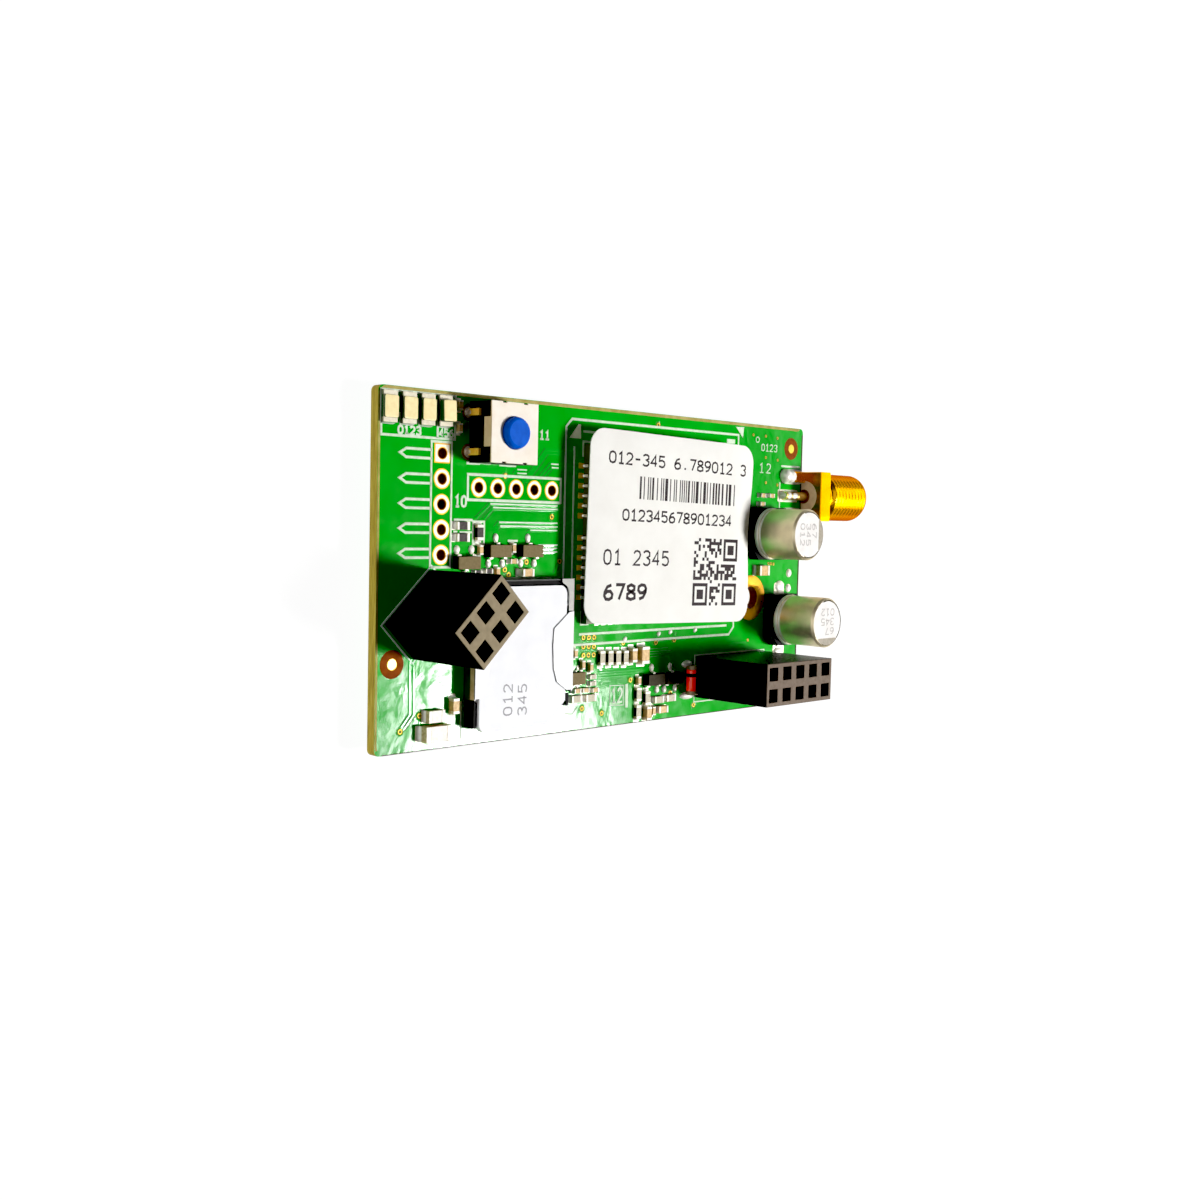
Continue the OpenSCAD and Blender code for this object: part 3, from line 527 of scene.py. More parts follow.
# ------------------------------------------------------------------ places
PITCH = 2.54
COLUMN = [(7.75, 29.8 - PITCH * i) for i in range(5)]
ROW = [(12.5 + PITCH * i, 26.55) for i in range(5)]
H5 = [(48.35 + PITCH * i, 5.95 - PITCH * j) for i in range(5) for j in range(2)]
H3 = turned([((i - 1) * PITCH, (j - 0.5) * PITCH) for i in range(3) for j in range(2)], 5.52, 13.73, 44.05)
LEGS = [(14.3 + sx * 3.25, 32.1 + sy * 2.0) for sx in (-1, 1) for sy in (-1, 1)]
LEDS = [(1.16, 33.96, 0), (3.44, 33.96, 0), (5.70, 33.96, 0), (7.89, 33.99, 2)]
SOT = [(14.85, 20.05, 1), (19.3, 20.05, 1), (10.7, 18.85, -1), (39.1, 4.95, 1), (42.3, 4.9, 1)]
CHIPS = [
    (10.25, 22.6, 0, 1.6, 0.8, 0.45), (10.25, 21.4, 0, 1.6, 0.8, 0.45), (12.5, 21.95, 90, 1.6, 0.8, 0.45),
    (12.4, 17.8, 0, 1.0, 0.5, 0.35), (13.85, 17.95, 0, 1.0, 0.5, 0.35),
    (30.6, 7.95, 90, 1.6, 0.8, 0.45), (31.9, 7.9, 90, 1.6, 0.8, 0.45), (33.15, 7.85, 90, 1.6, 0.8, 0.45), (34.4, 7.8, 90, 1.6, 0.8, 0.45),
    (36.7, 3.35, 90, 1.6, 0.8, 0.45), (38.2, 2.8, 90, 1.6, 0.8, 0.45), (36.7, 1.3, 90, 1.6, 0.8, 0.45),
    (29.25, 5.9, 0, 1.0, 0.5, 0.35), (29.25, 5.15, 0, 1.0, 0.5, 0.35),
    (42.3, 2.5, 0, 1.6, 0.8, 0.45), (40.2, 2.45, 0, 1.6, 0.8, 0.45),
    (28.9, 3.55, 0, 1.6, 0.8, 0.45), (26.7, 3.6, 0, 1.6, 0.8, 0.45),
    (18.9, 17.75, 0, 1.6, 0.8, 0.8), (17.1, 18.95, 0, 1.0, 0.5, 0.5), (17.1, 20.35, 90, 1.0, 0.5, 0.5),
    (12.65, 20.15, 90, 1.0, 0.5, 0.5), (14.95, 17.85, 90, 1.0, 0.5, 0.5),
    (37.2, 7.95, 90, 2.0, 1.25, 0.9), (35.5, 8.0, 90, 1.6, 0.8, 0.8),
    (26.4, 8.7, 90, 1.0, 0.5, 0.5), (27.6, 7.35, 90, 1.0, 0.5, 0.5), (28.85, 7.0, 90, 1.0, 0.5, 0.5),
    (26.75, 4.5, 0, 1.0, 0.5, 0.5), (28.05, 4.5, 0, 1.0, 0.5, 0.5), (29.5, 4.4, 0, 1.0, 0.5, 0.5),
    (38.15, 1.05, 90, 1.6, 0.8, 0.8), (39.3, 1.2, 90, 1.0, 0.5, 0.5), (40.6, 1.3, 0, 1.6, 0.8, 0.8),
    (36.7, 4.95, 90, 1.0, 0.5, 0.5),
    (7.0, 1.75, 0, 3.2, 1.6, 1.2), (7.0, 3.45, 0, 2.0, 1.25, 0.8), (9.45, 4.3, 90, 1.6, 0.8, 0.8),
    (58.9, 17.55, 0, 2.0, 1.25, 0.9),
    (60.5, 27.1, 0, 1.0, 0.5, 0.5), (58.7, 27.1, 0, 1.0, 0.5, 0.5), (58.6, 26.0, 0, 1.0, 0.5, 0.5),
    (9.72, 34.7, 90, 1.0, 0.5, 0.5), (9.72, 32.4, 90, 1.0, 0.5, 0.5)]
VIAS = [(22.75, 23.72), (19.23, 18.86), (16.21, 18.07), (16.75, 17.52), (24.01, 18.91), (16.07, 27.87),
        (27.89, 10.37), (28.74, 10.34), (29.57, 10.33), (27.92, 9.35), (28.75, 9.33), (29.57, 9.28),
        (27.95, 8.37), (28.73, 8.36), (29.55, 8.35), (34.28, 9.47), (35.59, 5.07), (27.88, 2.4), (31.02, 1.6),
        (46.8, 1.25), (3.04, 2.2), (5.39, 3.59), (56.94, 8.7), (60.7, 18.4), (61.2, 18.37), (61.75, 18.33),
        (56.89, 34.65), (59.39, 34.64), (61.8, 34.51), (59.52, 31.94), (61.99, 31.72), (59.68, 28.74), (62.07, 28.53),
        (39.8, 9.24), (43.0, 9.4), (42.52, 3.03), (39.30, 34.70)]
MOD_L = [29.43 - 1.1 * i for i in range(6)] + [21.49 - 1.1 * i for i in range(7)]
MOD_B = [39.22 + (i - 8.5) * 1.1 for i in range(18)]

# ------------------------------------------------------------------ plated copper
pads, barrels, bare, fid, rims, edges, wells = Shape(), Shape(), Shape(), Shape(), Shape(), Shape(), Shape()
for i, (x, y) in enumerate(COLUMN):
    pads.ring(x, y, 0.62, 0.88 if i == 0 else 0.92, 0.0, 0.05, 48, square=(i == 0))
    edges.ring(x, y, 0.62, 0.99 if i == 0 else 1.04, 0.0, 0.035, 48, square=(i == 0))
    pads.ring(x, y, 0.46, 1.0, -1.25, -1.2, 40)
for x, y in ROW:
    pads.ring(x, y, 0.62, 0.91, 0.0, 0.05, 48)
    edges.ring(x, y, 0.62, 1.02, 0.0, 0.035, 48)
    pads.ring(x, y, 0.46, 0.98, -1.25, -1.2, 40)
for x, y in COLUMN + ROW:
    # plated walls and mouths of the holes take the dark colour: painted shade
    barrels.ring(x, y, 0.455, 0.5, -1.2, 0.0, 32, ease=0.005)
    rims.ring(x, y, 0.53, 0.66, 0.0, 0.054, 40, ease=0.03, dip=0.01)
    wells.ring(x, y, 0.455, 0.54, 0.0, 0.046, 40, ease=0.02, dip=0.02)
mpads, cpads, lpads = Shape(), Shape(), Shape()
gold = Shape()
gold.ring(57.2, 14.1, 1.40, 2.85, 0.0, 0.05, 64, ease=0.12)
gold.ring(57.2, 14.1, 1.40, 2.85, -1.25, -1.2, 64, ease=0.12)
gold.make("fixing_ring", M["fix_ring"], "gold_contact", smooth=True)
barrels.ring(57.2, 14.1, 1.39, 1.45, -1.2, 0.0, 64, ease=0.005)
for x, y in ((1.95, 8.94), (64.74, 33.3)):
    fid.slab(poly_circle(x, y, 0.58, 40), 0.0, 0.045, 0.02)
    if x < 30:
        pads.slab(poly_circle(x, y, 0.49, 40), 0.04, 0.05, 0.004)
    bare.ring(x, y, 0.58, 1.42, 0.0, 0.012, 56, ease=0.03)
for x, y in ((65.03, 17.13), (65.0, 15.17)):
    pads.slab(poly_circle(x, y, 0.55, 28), 0.0, 0.05, 0.03)
for y in MOD_L:
    for x0, x1 in ((26.62, 27.42), (51.02, 51.82)):
        mpads.box(x0, x1, y - 0.31, y + 0.31, 0.0, 0.04, 0.02)
    for x0, x1 in ((27.46, 28.1), (50.34, 50.98)):
        mpads.box(x0, x1, y - 0.22, y + 0.22, 0.9, 0.925, 0.01)
for x in MOD_B:
    for y0, y1 in ((11.64, 11.95), (31.85, 32.30)):
        cpads.box(x - 0.31, x + 0.31, y0, y1, 0.0, 0.04, 0.02)
for x, y, deg, l, w, h in CHIPS:
    c, s = math.cos(math.radians(deg)), math.sin(math.radians(deg))
    e = 0.22 if l < 1.2 else 0.38 if l < 2.5 else 0.5
    for k in (-1, 1):
        ek = min(e, y - l / 2 - 0.10) if deg == 90 and k < 0 else e
        d = k * (l / 2 + ek / 2 - 0.02)
        cpads.slab(round_rect(x + d * c, y + d * s, ek + 0.06, w + 0.1, 0.06, deg), 0.0, 0.03, 0.015)
pads.slab(round_rect(63.05, 15.0, 2.1, 1.9, 0.35), 0.0, 0.05, 0.03)
pads.slab(round_rect(63.25, 7.25, 2.3, 1.5, 0.3), 0.0, 0.05, 0.03)
pads.slab(round_rect(54.75, 22.25, 1.6, 2.1, 0.3), 0.0, 0.05, 0.03)
pads.slab(round_rect(62.85, 22.25, 1.6, 2.1, 0.3), 0.0, 0.05, 0.03)
for y in (24.7, 29.7):
    pads.slab(round_rect(64.9, y, 4.3, 1.9, 0.2), -0.005, 0.0, 0.002)
pads.slab(round_rect(64.3, 27.2, 4.2, 1.6, 0.2), 0.0, 0.02, 0.01)
# switch pads in the dark brown colour: painted shade of the switch
for x, y in LEGS:
    lpads.ring(x, y, 0.3, 0.85, 0.0, 0.04, 32)
pads.make("pads_plated", M["pad"], "gold_contact", smooth=True)
mpads.make("module_pads", M["edge_gold"], "gold_contact")
cpads.make("chip_pads", M["tin"], "tinned_metal")
lpads.make("switch_pads", M["leg_pad"], "gold_contact", smooth=True)
barrels.make("hole_barrels", M["hole_shade"], "gold_contact", smooth=True)
fid.make("fiducial_pads", M["via"], "gold_contact")
rims.make("hole_rims", M["ring"], "gold_contact", smooth=True)
edges.make("hole_pad_edges", M["ring"], "gold_contact", smooth=True)
wells.make("hole_mouths", M["hole_shade"], "gold_contact", smooth=True)
bare.make("fiducial_rings", M["bare"], "green_laminate", smooth=True)

vias, drills, dimples, vrims = Shape(), Shape(), Shape(), Shape()
for x, y in VIAS:
    k = 0.62 if x > 56.0 else 1.0
    vias.ring(x, y, 0.15 * k, 0.28 * k, 0.0, 0.035, 20, ease=0.03 * k)
    vias.ring(x, y, 0.13 * k, 0.28 * k, -1.235, -1.2, 16, ease=0.03 * k)
    # dark discs stand for the open via holes: painted shade
    drills.slab(poly_circle(x, y, 0.16 * k, 16), 0.0, 0.020, 0.002)
    drills.slab(poly_circle(x, y, 0.16 * k, 16), -1.208, -1.2, 0.002)
    vrims.ring(x, y, 0.27 * k, 0.36 * k, 0.0, 0.022, 20, ease=0.02 * k)
    if x < 56.0:
        dimples.ring(x, y, 0.36, 0.50, 0.0, 0.03, 28, ease=0.05, dip=0.015)
vias.make("via_rings", M["via"], "gold_contact", smooth=True)
drills.make("via_drills", M["via_rim"], "gold_contact")
vrims.make("via_outlines", M["via_rim"], "green_laminate", smooth=True)
dimples.make("via_dimples", MASK, "green_laminate", smooth=True, angle=60)

# ------------------------------------------------------------------ traces under the mask
tr = Shape()


# dark green strips along both edges of the diagonal trace runs: painted shade
edge_shade = Shape()


def trace(pts, w=0.42):
    tr.line(pts, w, -0.002, 0.018, 0.19)
    for a, b in zip(pts[:-1], pts[1:]):
        if abs(a[0] - b[0]) > 0.25 and abs(a[1] - b[1]) > 0.25:
            d = (Vector(b) - Vector(a)).normalized()
            for k in (-1, 1):
                q = Vector((-d.y, d.x)) * (k * 0.23)
                edge_shade.line([(a[0] + q.x, a[1] + q.y), (b[0] + q.x, b[1] + q.y)], 0.09, 0.0, 0.006, 0.01)


for t in ([(12.18, 23.3), (14.05, 24.93), (24.6, 24.93)], [(13.19, 23.2), (14.45, 24.45), (24.6, 24.5)],
          [(14.75, 21.6), (14.75, 22.44), (15.3, 23.04), (26.5, 23.04)], [(15.1, 21.7), (15.1, 22.34), (15.45, 22.65), (26.5, 22.65)],
          [(19.33, 21.6), (19.33, 21.93), (19.66, 22.25), (26.5, 22.25)],
          [(20.8, 20.66), (26.5, 20.66)], [(20.9, 20.28), (26.5, 20.28)], [(20.9, 19.91), (26.5, 19.91)],
          [(18.4, 27.1), (21.75, 30.91), (26.5, 30.91)], [(19.0, 27.3), (21.9, 30.56), (26.5, 30.56)],
          [(20.4, 27.4), (22.43, 29.42), (26.5, 29.42)], [(20.9, 27.4), (22.6, 29.02), (26.5, 29.02)],
          [(16.05, 29.4), (16.05, 27.9)],
          [(17.2, 28.05), (17.55, 28.4), (19.1, 28.4)],
          [(31.2, 6.56), (37.6, 6.56), (38.4, 7.4)], [(30.2, 6.27), (37.2, 6.24)], [(30.2, 6.02), (36.8, 5.93)], [(29.9, 5.75), (36.7, 5.61)],
          [(38.5, 8.52), (42.0, 8.52)], [(38.6, 8.2), (42.5, 8.18)], [(38.8, 7.9), (42.6, 7.9)], [(38.9, 7.58), (42.7, 7.57)],
          [(47.3, 8.58), (55.0, 8.55), (56.6, 8.6)], [(55.4, 7.35), (60.3, 7.25), (62.3, 7.2)],
          [(4.1, 9.4), (4.16, 3.77), (3.15, 2.62), (3.04, 2.3)], [(4.58, 9.2), (4.68, 3.73), (3.66, 2.6), (3.1, 2.15)],
          [(5.4, 3.4), (5.4, 2.6)], [(33.6, 6.9), (33.6, 6.6)], [(30.6, 6.9), (30.9, 6.56)],
          [(24.0, 18.9), (23.3, 17.6)],
          [(58.9, 18.4), (60.6, 18.4)], [(55.2, 17.55), (57.8, 17.55)], [(61.0, 27.15), (63.0, 27.15)],
          [(26.6, 29.43), (25.6, 29.43)], [(40.2, 10.4), (39.6, 9.3)], [(43.2, 10.4), (42.9, 9.4)]):
    trace(t)
for t in ([(7.75, 27.3), (7.75, 24.8), (12.0, 21.0), (30.0, 21.0)], [(12.5, 26.5), (12.5, 12.0), (20.0, 4.6), (48.3, 4.6)],
          [(15.04, 26.5), (15.04, 14.0), (23.0, 6.0), (48.3, 5.9)], [(17.6, 26.5), (22.0, 22.0), (40.0, 22.0), (53.4, 8.6), (53.4, 6.0)],
          [(50.9, 5.9), (50.9, 9.0), (42.0, 18.0), (20.1, 18.0), (20.1, 26.5)], [(11.0, 34.1), (22.0, 34.1), (30.0, 26.0), (57.0, 26.0)],
          [(58.5, 3.4), (61.0, 3.4), (63.2, 5.6), (63.2, 7.2)]):
    tr.line(t, 0.5, -1.236, -1.198, 0.15)
tr.make("traces_raised", MASK_TRACE, "green_laminate", smooth=True, angle=50)
edge_shade.make("trace_edge_shades", M["trace_edge_shade"], "green_laminate")
# pale strips along the horizontal trace runs: painted glints
crest = Shape()
for a, b, y in ((14.1, 23.55, 24.92), (14.5, 23.55, 24.53), (15.35, 23.6, 23.04), (15.5, 23.6, 22.65), (19.7, 23.6, 22.25),
                (20.9, 23.65, 20.67), (20.95, 23.65, 20.31), (20.95, 23.65, 19.93), (22.5, 23.6, 29.40), (22.6, 23.6, 29.02)):
    crest.line([(a, y), (b, y)], 0.17, 0.008, 0.026, 0.03)
crest.make("painted_trace_glints", M["glint"], "green_laminate")
# faint pale strips on four short traces: painted highlights
fine = Shape()
for t in ([(38.5, 8.52), (42.0, 8.52)], [(38.6, 8.2), (42.5, 8.18)], [(38.8, 7.9), (42.6, 7.9)], [(38.9, 7.58), (42.7, 7.57)]):
    fine.line(t, 0.10, 0.008, 0.024, 0.02)
fine.make("faint_trace_glints", M["faint_trace_glint"], "green_laminate")

# ------------------------------------------------------------------ bare margins of the board
mg, eline = Shape(), Shape()
mg.line([(66.4, 35.85)] + round_rect(33.6, 18.0, 67.2 - 0.30, 36.0 - 0.30, 0.85, 0, 6)[7:17], 0.24, -0.001, 0.008, 0.02)
mg.line([(1.0, 35.74), (66.2, 35.74)], 0.22, 0.0, 0.009, 0.02)
mg.make("board_margin", M["margin"], "green_laminate")
# dark strips along the bottom and right edges: painted shade of the board edge
eline.line([(0.9, 0.055), (66.3, 0.055)], 0.10, 0.0, 0.012, 0.01)
eline.line([(67.05, 0.9), (67.05, 35.2)], 0.24, 0.0, 0.012, 0.01)
eline.make("board_edge_shade", M["edge_dark_shade"], "green_laminate")

# ------------------------------------------------------------------ screen print
silk = Shape()


def ink(pts, w=0.27, closed=False):
    silk.line(pts, w, 0.0, 0.045, 0.03, closed=closed)


ink([(6.41, 18.4), (8.96, 18.4), (8.96, 30.92), (6.41, 30.92)], 0.26, True)
for y in (29.65, 27.18, 24.71, 22.28, 19.81):
    ink([(6.4, y + 0.43), (3.35, y + 0.43), (2.6, y), (3.35, y - 0.43), (6.4, y - 0.43)], 0.28)
ink([(11.08, 25.26), (23.99, 25.26), (23.99, 27.85), (11.08, 27.85)], 0.30, True)
ink([(0.36, 31.25), (9.35, 31.25), (9.35, 35.55), (0.36, 35.55)], 0.27, True)
ink([(2.6, 32.25), (2.6, 33.5)], 0.24)
ink([(4.87, 32.2), (4.87, 32.95)], 0.24)
ink([(7.13, 31.3), (7.13, 35.5)], 0.28)
ink([(0.42, 32.3), (0.42, 33.6)], 0.30)
figures(silk, "0123", 2.35, 31.45, 0.52, 0.74, 0.72, 0.22, 0.0, 0.04)
figures(silk, "456", 7.35, 31.45, 0.46, 0.74, 0.64, 0.20, 0.0, 0.04)
figures(silk, "10", 9.45, 24.55, 0.55, 1.05, 0.85, 0.24, 0.0, 0.045)
figures(silk, "11", 20.75, 32.0, 0.55, 0.85, 0.8, 0.2, 0.0, 0.045)
ink([(10.86, 29.0), (12.6, 29.03)], 0.36)
ink([(12.6, 29.03), (14.0, 29.0)], 0.12)
ink([(15.2, 28.95), (16.6, 28.92), (17.5, 28.96)], 0.22)
ink([(17.7, 28.6), (19.0, 28.6)], 0.16)
ink([(17.7, 28.22), (19.0, 28.22)], 0.16)
# places of the parts around the three-lead transistors
ink([(9.35, 23.2), (11.75, 23.2)], 0.26)
ink([(9.3, 21.98), (9.8, 21.98)], 0.22)
ink([(10.1, 21.95), (11.7, 21.95)], 0.22)
ink([(11.85, 23.05), (13.3, 23.05), (13.3, 20.75), (11.85, 20.75)], 0.26, True)
ink([(16.55, 21.1), (17.9, 21.1)], 0.26)
ink([(16.3, 17.13), (20.55, 17.13)], 0.28)
ink([(20.55, 17.16), (22.9, 17.16)], 0.12)
# module
ink([(24.62, 9.6), (53.1, 9.6), (53.95, 10.5), (53.95, 34.45), (25.5, 34.45), (24.62, 33.6)], 0.29, True)
# print lines lying in shade take the paler green ink: thin ink over green, plus painted light
shade = Shape()
shade.line([(25.9, 16.6), (25.9, 31.5)], 0.27, 0.0, 0.045, 0.03)
shade.line([(24.62, 17.3), (24.62, 33.4)], 0.29, 0.0, 0.047, 0.03)
shade.line(turned([(-4.15, -2.71), (4.15, -2.71), (4.15, 2.71), (-4.15, 2.71)], 5.52, 13.73, 44.05), 0.20, 0.0, 0.045, 0.03, closed=True)
shade.make("screen_print_shaded", M["silk_green"], "label_paper")
ink([(27.2, 10.75), (52.6, 10.75)], 0.29)
ink([(27.2, 33.2), (51.6, 33.2)], 0.27)
ink([(27.25, 30.4), (27.25, 32.1), (28.4, 32.1)], 0.24)
ink([(27.4, 13.4), (27.4, 11.85), (28.6, 11.85)], 0.24)
silk.slab([(53.4, 35.42), (54.8, 34.12), (54.98, 35.5)], 0.0, 0.045, 0.02)
silk.slab([(51.75, 33.3), (53.3, 33.3), (53.3, 33.85), (51.75, 33.85)], 0.0, 0.045, 0.02)
# headers
ink([(46.83, 1.6), (46.83, 7.32), (60.3, 7.32), (60.3, 1.6)], 0.18, True)
# card holder and the numbered square next to it
ink([(10.65, 0.74), (10.65, 4.62)], 0.20)
ink([(25.2, 2.1), (26.4, 1.9), (27.1, 2.6)], 0.16)
ink([(32.25, 4.66), (34.45, 4.55), (34.52, 2.25), (32.3, 2.4)], 0.13, True)
figures(silk, "12", 32.55, 2.65, 0.7, 1.6, 1.0, 0.24, 0.0, 0.045)
ink([(34.98, 4.65), (35.05, 1.9)], 0.5)
# around the antenna jack and the capacitors
ink([(62.75, 31.0), (66.6, 31.0)], 0.26)
ink([(62.6, 25.4), (62.55, 28.9)], 0.22)
silk.ring(57.75, 34.1, 0.26, 0.40, 0.0, 0.045, 28)
figures(silk, "0123", 58.6, 32.75, 0.55, 0.85, 0.85, 0.13, 0.0, 0.045)
figures(silk, "12", 58.3, 30.0, 0.8, 1.15, 1.4, 0.14, 0.0, 0.045)
corner_pad = Shape()
corner_pad.slab([(25.1, 32.36), (26.85, 32.38), (26.8, 33.9), (26.45, 33.96)], 0.0, 0.06, 0.03)
corner_pad.make("corner_pad", M["pad"], "tinned_metal")
silk.make("screen_print", M["silk"], "label_paper")

# ------------------------------------------------------------------ solder
so, sb, sl = Shape(), Shape(), Shape()
for x, y, deg, l, w, h in CHIPS:
    c, s = math.cos(math.radians(deg)), math.sin(math.radians(deg))
    e = 0.20 if l < 1.2 else 0.34 if l < 2.5 else 0.44
    for k in (-1, 1):
        ek = min(e, y - l / 2 - 0.10) if deg == 90 and k < 0 else e
        sb.fillet(x + k * l / 2 * c, y + k * l / 2 * s, deg + (0 if k > 0 else 180), ek, w, h * (0.30 if l > 1.9 else 0.72), 0.025)
for x, y, d in SOT:
    sb.blob(x, y + d * 1.36, 0.33, 0.47, 0.24, 0.0, flat=0.45)
    for k in (-0.95, 0.95):
        sb.blob(x + k, y - d * 1.35, 0.36, 0.43, 0.26, 0.0, flat=0.6)
for k in (-0.75, 0, 0.75):
    for d in (-1, 1):
        sb.blob(26.3 + k, 5.98 + d * 1.12, 0.20, 0.24, 0.12, 0.0)
for y in MOD_L:
    so.fillet(27.44, y, 180, 0.18, 0.34, 0.62, 0.035)
    so.fillet(51.0, y, 0, 0.18, 0.34, 0.62, 0.035)
for x in MOD_B:
    so.fillet(x, 11.97, 270, 0.14, 0.52, 0.80, 0.035)
    so.fillet(x, 31.83, 90, 0.14, 0.52, 0.80, 0.035)
for x, y, deg in LEDS:
    for k in (-1, 1):
        so.fillet(x, y + k * 1.53, 90 * k, 0.16, 1.5, 0.30, 0.02)
for x, y in LEGS:
    sl.lathe(x, y, [(0.60, 0.035), (0.50, 0.07), (0.42, 0.14), (0.36, 0.2), (0.25, 0.21)], 20)
    sl.blob(x + (0.12 if x < 14.3 else -0.12), y, 0.40, 0.40, 0.62, 0.03, m=8, flat=0.6)
for x, y, deg in ((54.95, 22.25, 180), (62.65, 22.25, 0), (63.2, 15.05, 90), (63.2, 7.35, 270)):
    sb.fillet(x, y, deg, 0.5, 1.2, 0.16, 0.04)
for y in (24.7, 29.7):
    for k in (-1, 1):
        sb.fillet(65.25, y + k * 0.7 * 0.995, 90 * k, 0.26, 3.6, 0.42, 0.0)
    sb.fillet(63.3, y, 180, 0.3, 1.4, 0.42, 0.0)
sb.fillet(62.9, 27.2, 180, 0.45, 0.9, 0.5, 0.02)
for k in (-1, 1):
    sb.fillet(64.6, 27.2 + k * 0.5, 90 * k, 0.28, 3.0, 0.4, 0.02)
for y, k in ((29.7, 1), (24.7, -1)):
    sb.blob(63.55, y + 0.05 * k, 0.95, 0.92, 1.00, 0.0, m=8, flat=0.7)
    sb.blob(64.45, y, 1.00, 0.86, 0.95, 0.0, m=8, flat=0.7)
sb.blob(63.6, 27.2, 1.05, 0.62, 1.02, 0.0, m=8, flat=0.7)
sb.blob(64.7, 27.2, 1.1, 0.56, 1.06, 0.0, m=8, flat=0.7)
sb.blob(63.1, 15.45, 0.90, 0.75, 0.32, 0.03, m=7)
sb.blob(63.2, 6.95, 0.95, 0.55, 0.30, 0.03, m=7)
sb.blob(65.03, 17.13, 0.5, 0.5, 0.22, 0.03)
sb.blob(65.0, 15.17, 0.5, 0.5, 0.22, 0.03)
# mounds that hold the glass diode
sb.blob(45.35, 6.35, 0.95, 0.48, 0.42, 0.0)
sb.blob(45.45, 2.5, 1.25, 0.46, 0.45, 0.0)
# small mounds below the module
for x, y in ((40.25, 10.25), (42.26, 10.38), (46.73, 10.41), (34.54, 9.89)):
    sb.blob(x, y, 0.34, 0.26, 0.14, 0.02, deg=35)
# lugs of the card holder
sb.fillet(24.6, 9.4, 0, 0.55, 1.9, 0.95, 0.0)
sb.fillet(10.9, 9.4, 180, 0.45, 1.9, 0.7, 0.0)
# solder side
for x, y in H5 + H3:
    so.lathe(x, y, [(0.95, -1.2), (0.93, -1.26), (0.66, -1.42), (0.50, -1.75), (0.42, -2.15), (0.28, -2.22)], 22)
for x, y in LEGS:
    so.lathe(x, y, [(0.80, -1.2), (0.78, -1.26), (0.58, -1.40), (0.46, -1.70), (0.40, -1.95), (0.25, -2.0)], 20)
for y in (24.7, 29.7):
    for k in (-1, 1):
        so.fillet(65.25, y + k * 0.7 * 0.995, 90 * k, 0.26, 3.6, -0.42, -1.2)
so.make("solder_joints", M["solder"], "tinned_metal", smooth=True, angle=60)
# the mounds in the light take the painted-light copy of solder
sb.make("solder_mounds", M["solder_lit"], "tinned_metal", smooth=True, angle=60)
sl.make("switch_leg_solder", M["leg_solder"], "tinned_metal", smooth=True, angle=60)

# metal ends of the lamps
ends = Shape()
for x, y, deg in LEDS:
    for k in (-1, 1):
        ends.slab(round_rect(*turned([(0, k * 1.31)], x, y, deg)[0], 1.70, 0.46, 0.05, deg), 0.0, 0.43, 0.04)
ends.make("lamp_ends", M["lamp_end"], "tinned_metal")
# glass body of the diode, drawn in at both ends, and its black band
def yring(x, y, z, r, n=36):
    return [(x + r * math.cos(2 * math.pi * i / n), y, z + r * math.sin(2 * math.pi * i / n)) for i in range(n)]


tube = Shape()
tube.loft([yring(45.45, y, 0.72, r) for y, r in ((3.02, 0.30), (3.03, 0.46), (3.10, 0.53), (3.22, 0.56), (4.4, 0.57), (5.58, 0.56), (5.70, 0.53), (5.77, 0.46), (5.78, 0.30))])
tb = tube.make("diode_tube", M["glass"], "red_glass", smooth=True)
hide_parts("diode_glass")
band = Shape()
band.loft([yring(45.45, y, 0.72, r) for y, r in ((4.84, 0.55), (4.86, 0.585), (5.27, 0.585), (5.29, 0.55))])
band.make("diode_band", M["black"], "resistor_black", smooth=True)

# ------------------------------------------------------------------ label
LX, LY, LTURN = 39.65, 22.5, -1.4
LC, LS = math.cos(math.radians(LTURN)), math.sin(math.radians(LTURN))


def on_label(u, v):
    return (LX + u * LC - v * LS, LY + u * LS + v * LC)


def droop(x, y):
    """The label is stuck to the shield and sags a little where it hangs over."""
    ox = max(0.0, 28.4 - x, x - 50.0)
    oy = max(0.0, 13.0 - y, y - 30.8)
    z = -0.014 * ox * ox - 0.020 * oy * oy
    if x > 50.0:
        z -= 0.030 * ox * ox * math.exp(-((y - 22.0) / 5.0) ** 2)
    return z


label = Shape()
HL, HW, R = 14.05, 10.75, 2.2
us = [-HL + R * i / 8 for i in range(8)] + [-HL + R + (2 * HL - 2 * R) * i / 44 for i in range(45)] + [HL - R + R * (i + 1) / 8 for i in range(8)]
vs = [-HW + R * i / 8 for i in range(8)] + [-HW + R + (2 * HW - 2 * R) * i / 30 for i in range(31)] + [HW - R + R * (i + 1) / 8 for i in range(8)]


def corner(u, v):
    """Bends the corners of the grid into quarter circles."""
    a, b = abs(u) - (HL - R), abs(v) - (HW - R)
    if a > 0 and b > 0:
        a, b = a / R, b / R
        a, b = a * math.sqrt(1 - b * b / 2), b * math.sqrt(1 - a * a / 2)
        return (math.copysign(HL - R + a * R, u), math.copysign(HW - R + b * R, v))
    return (u, v)


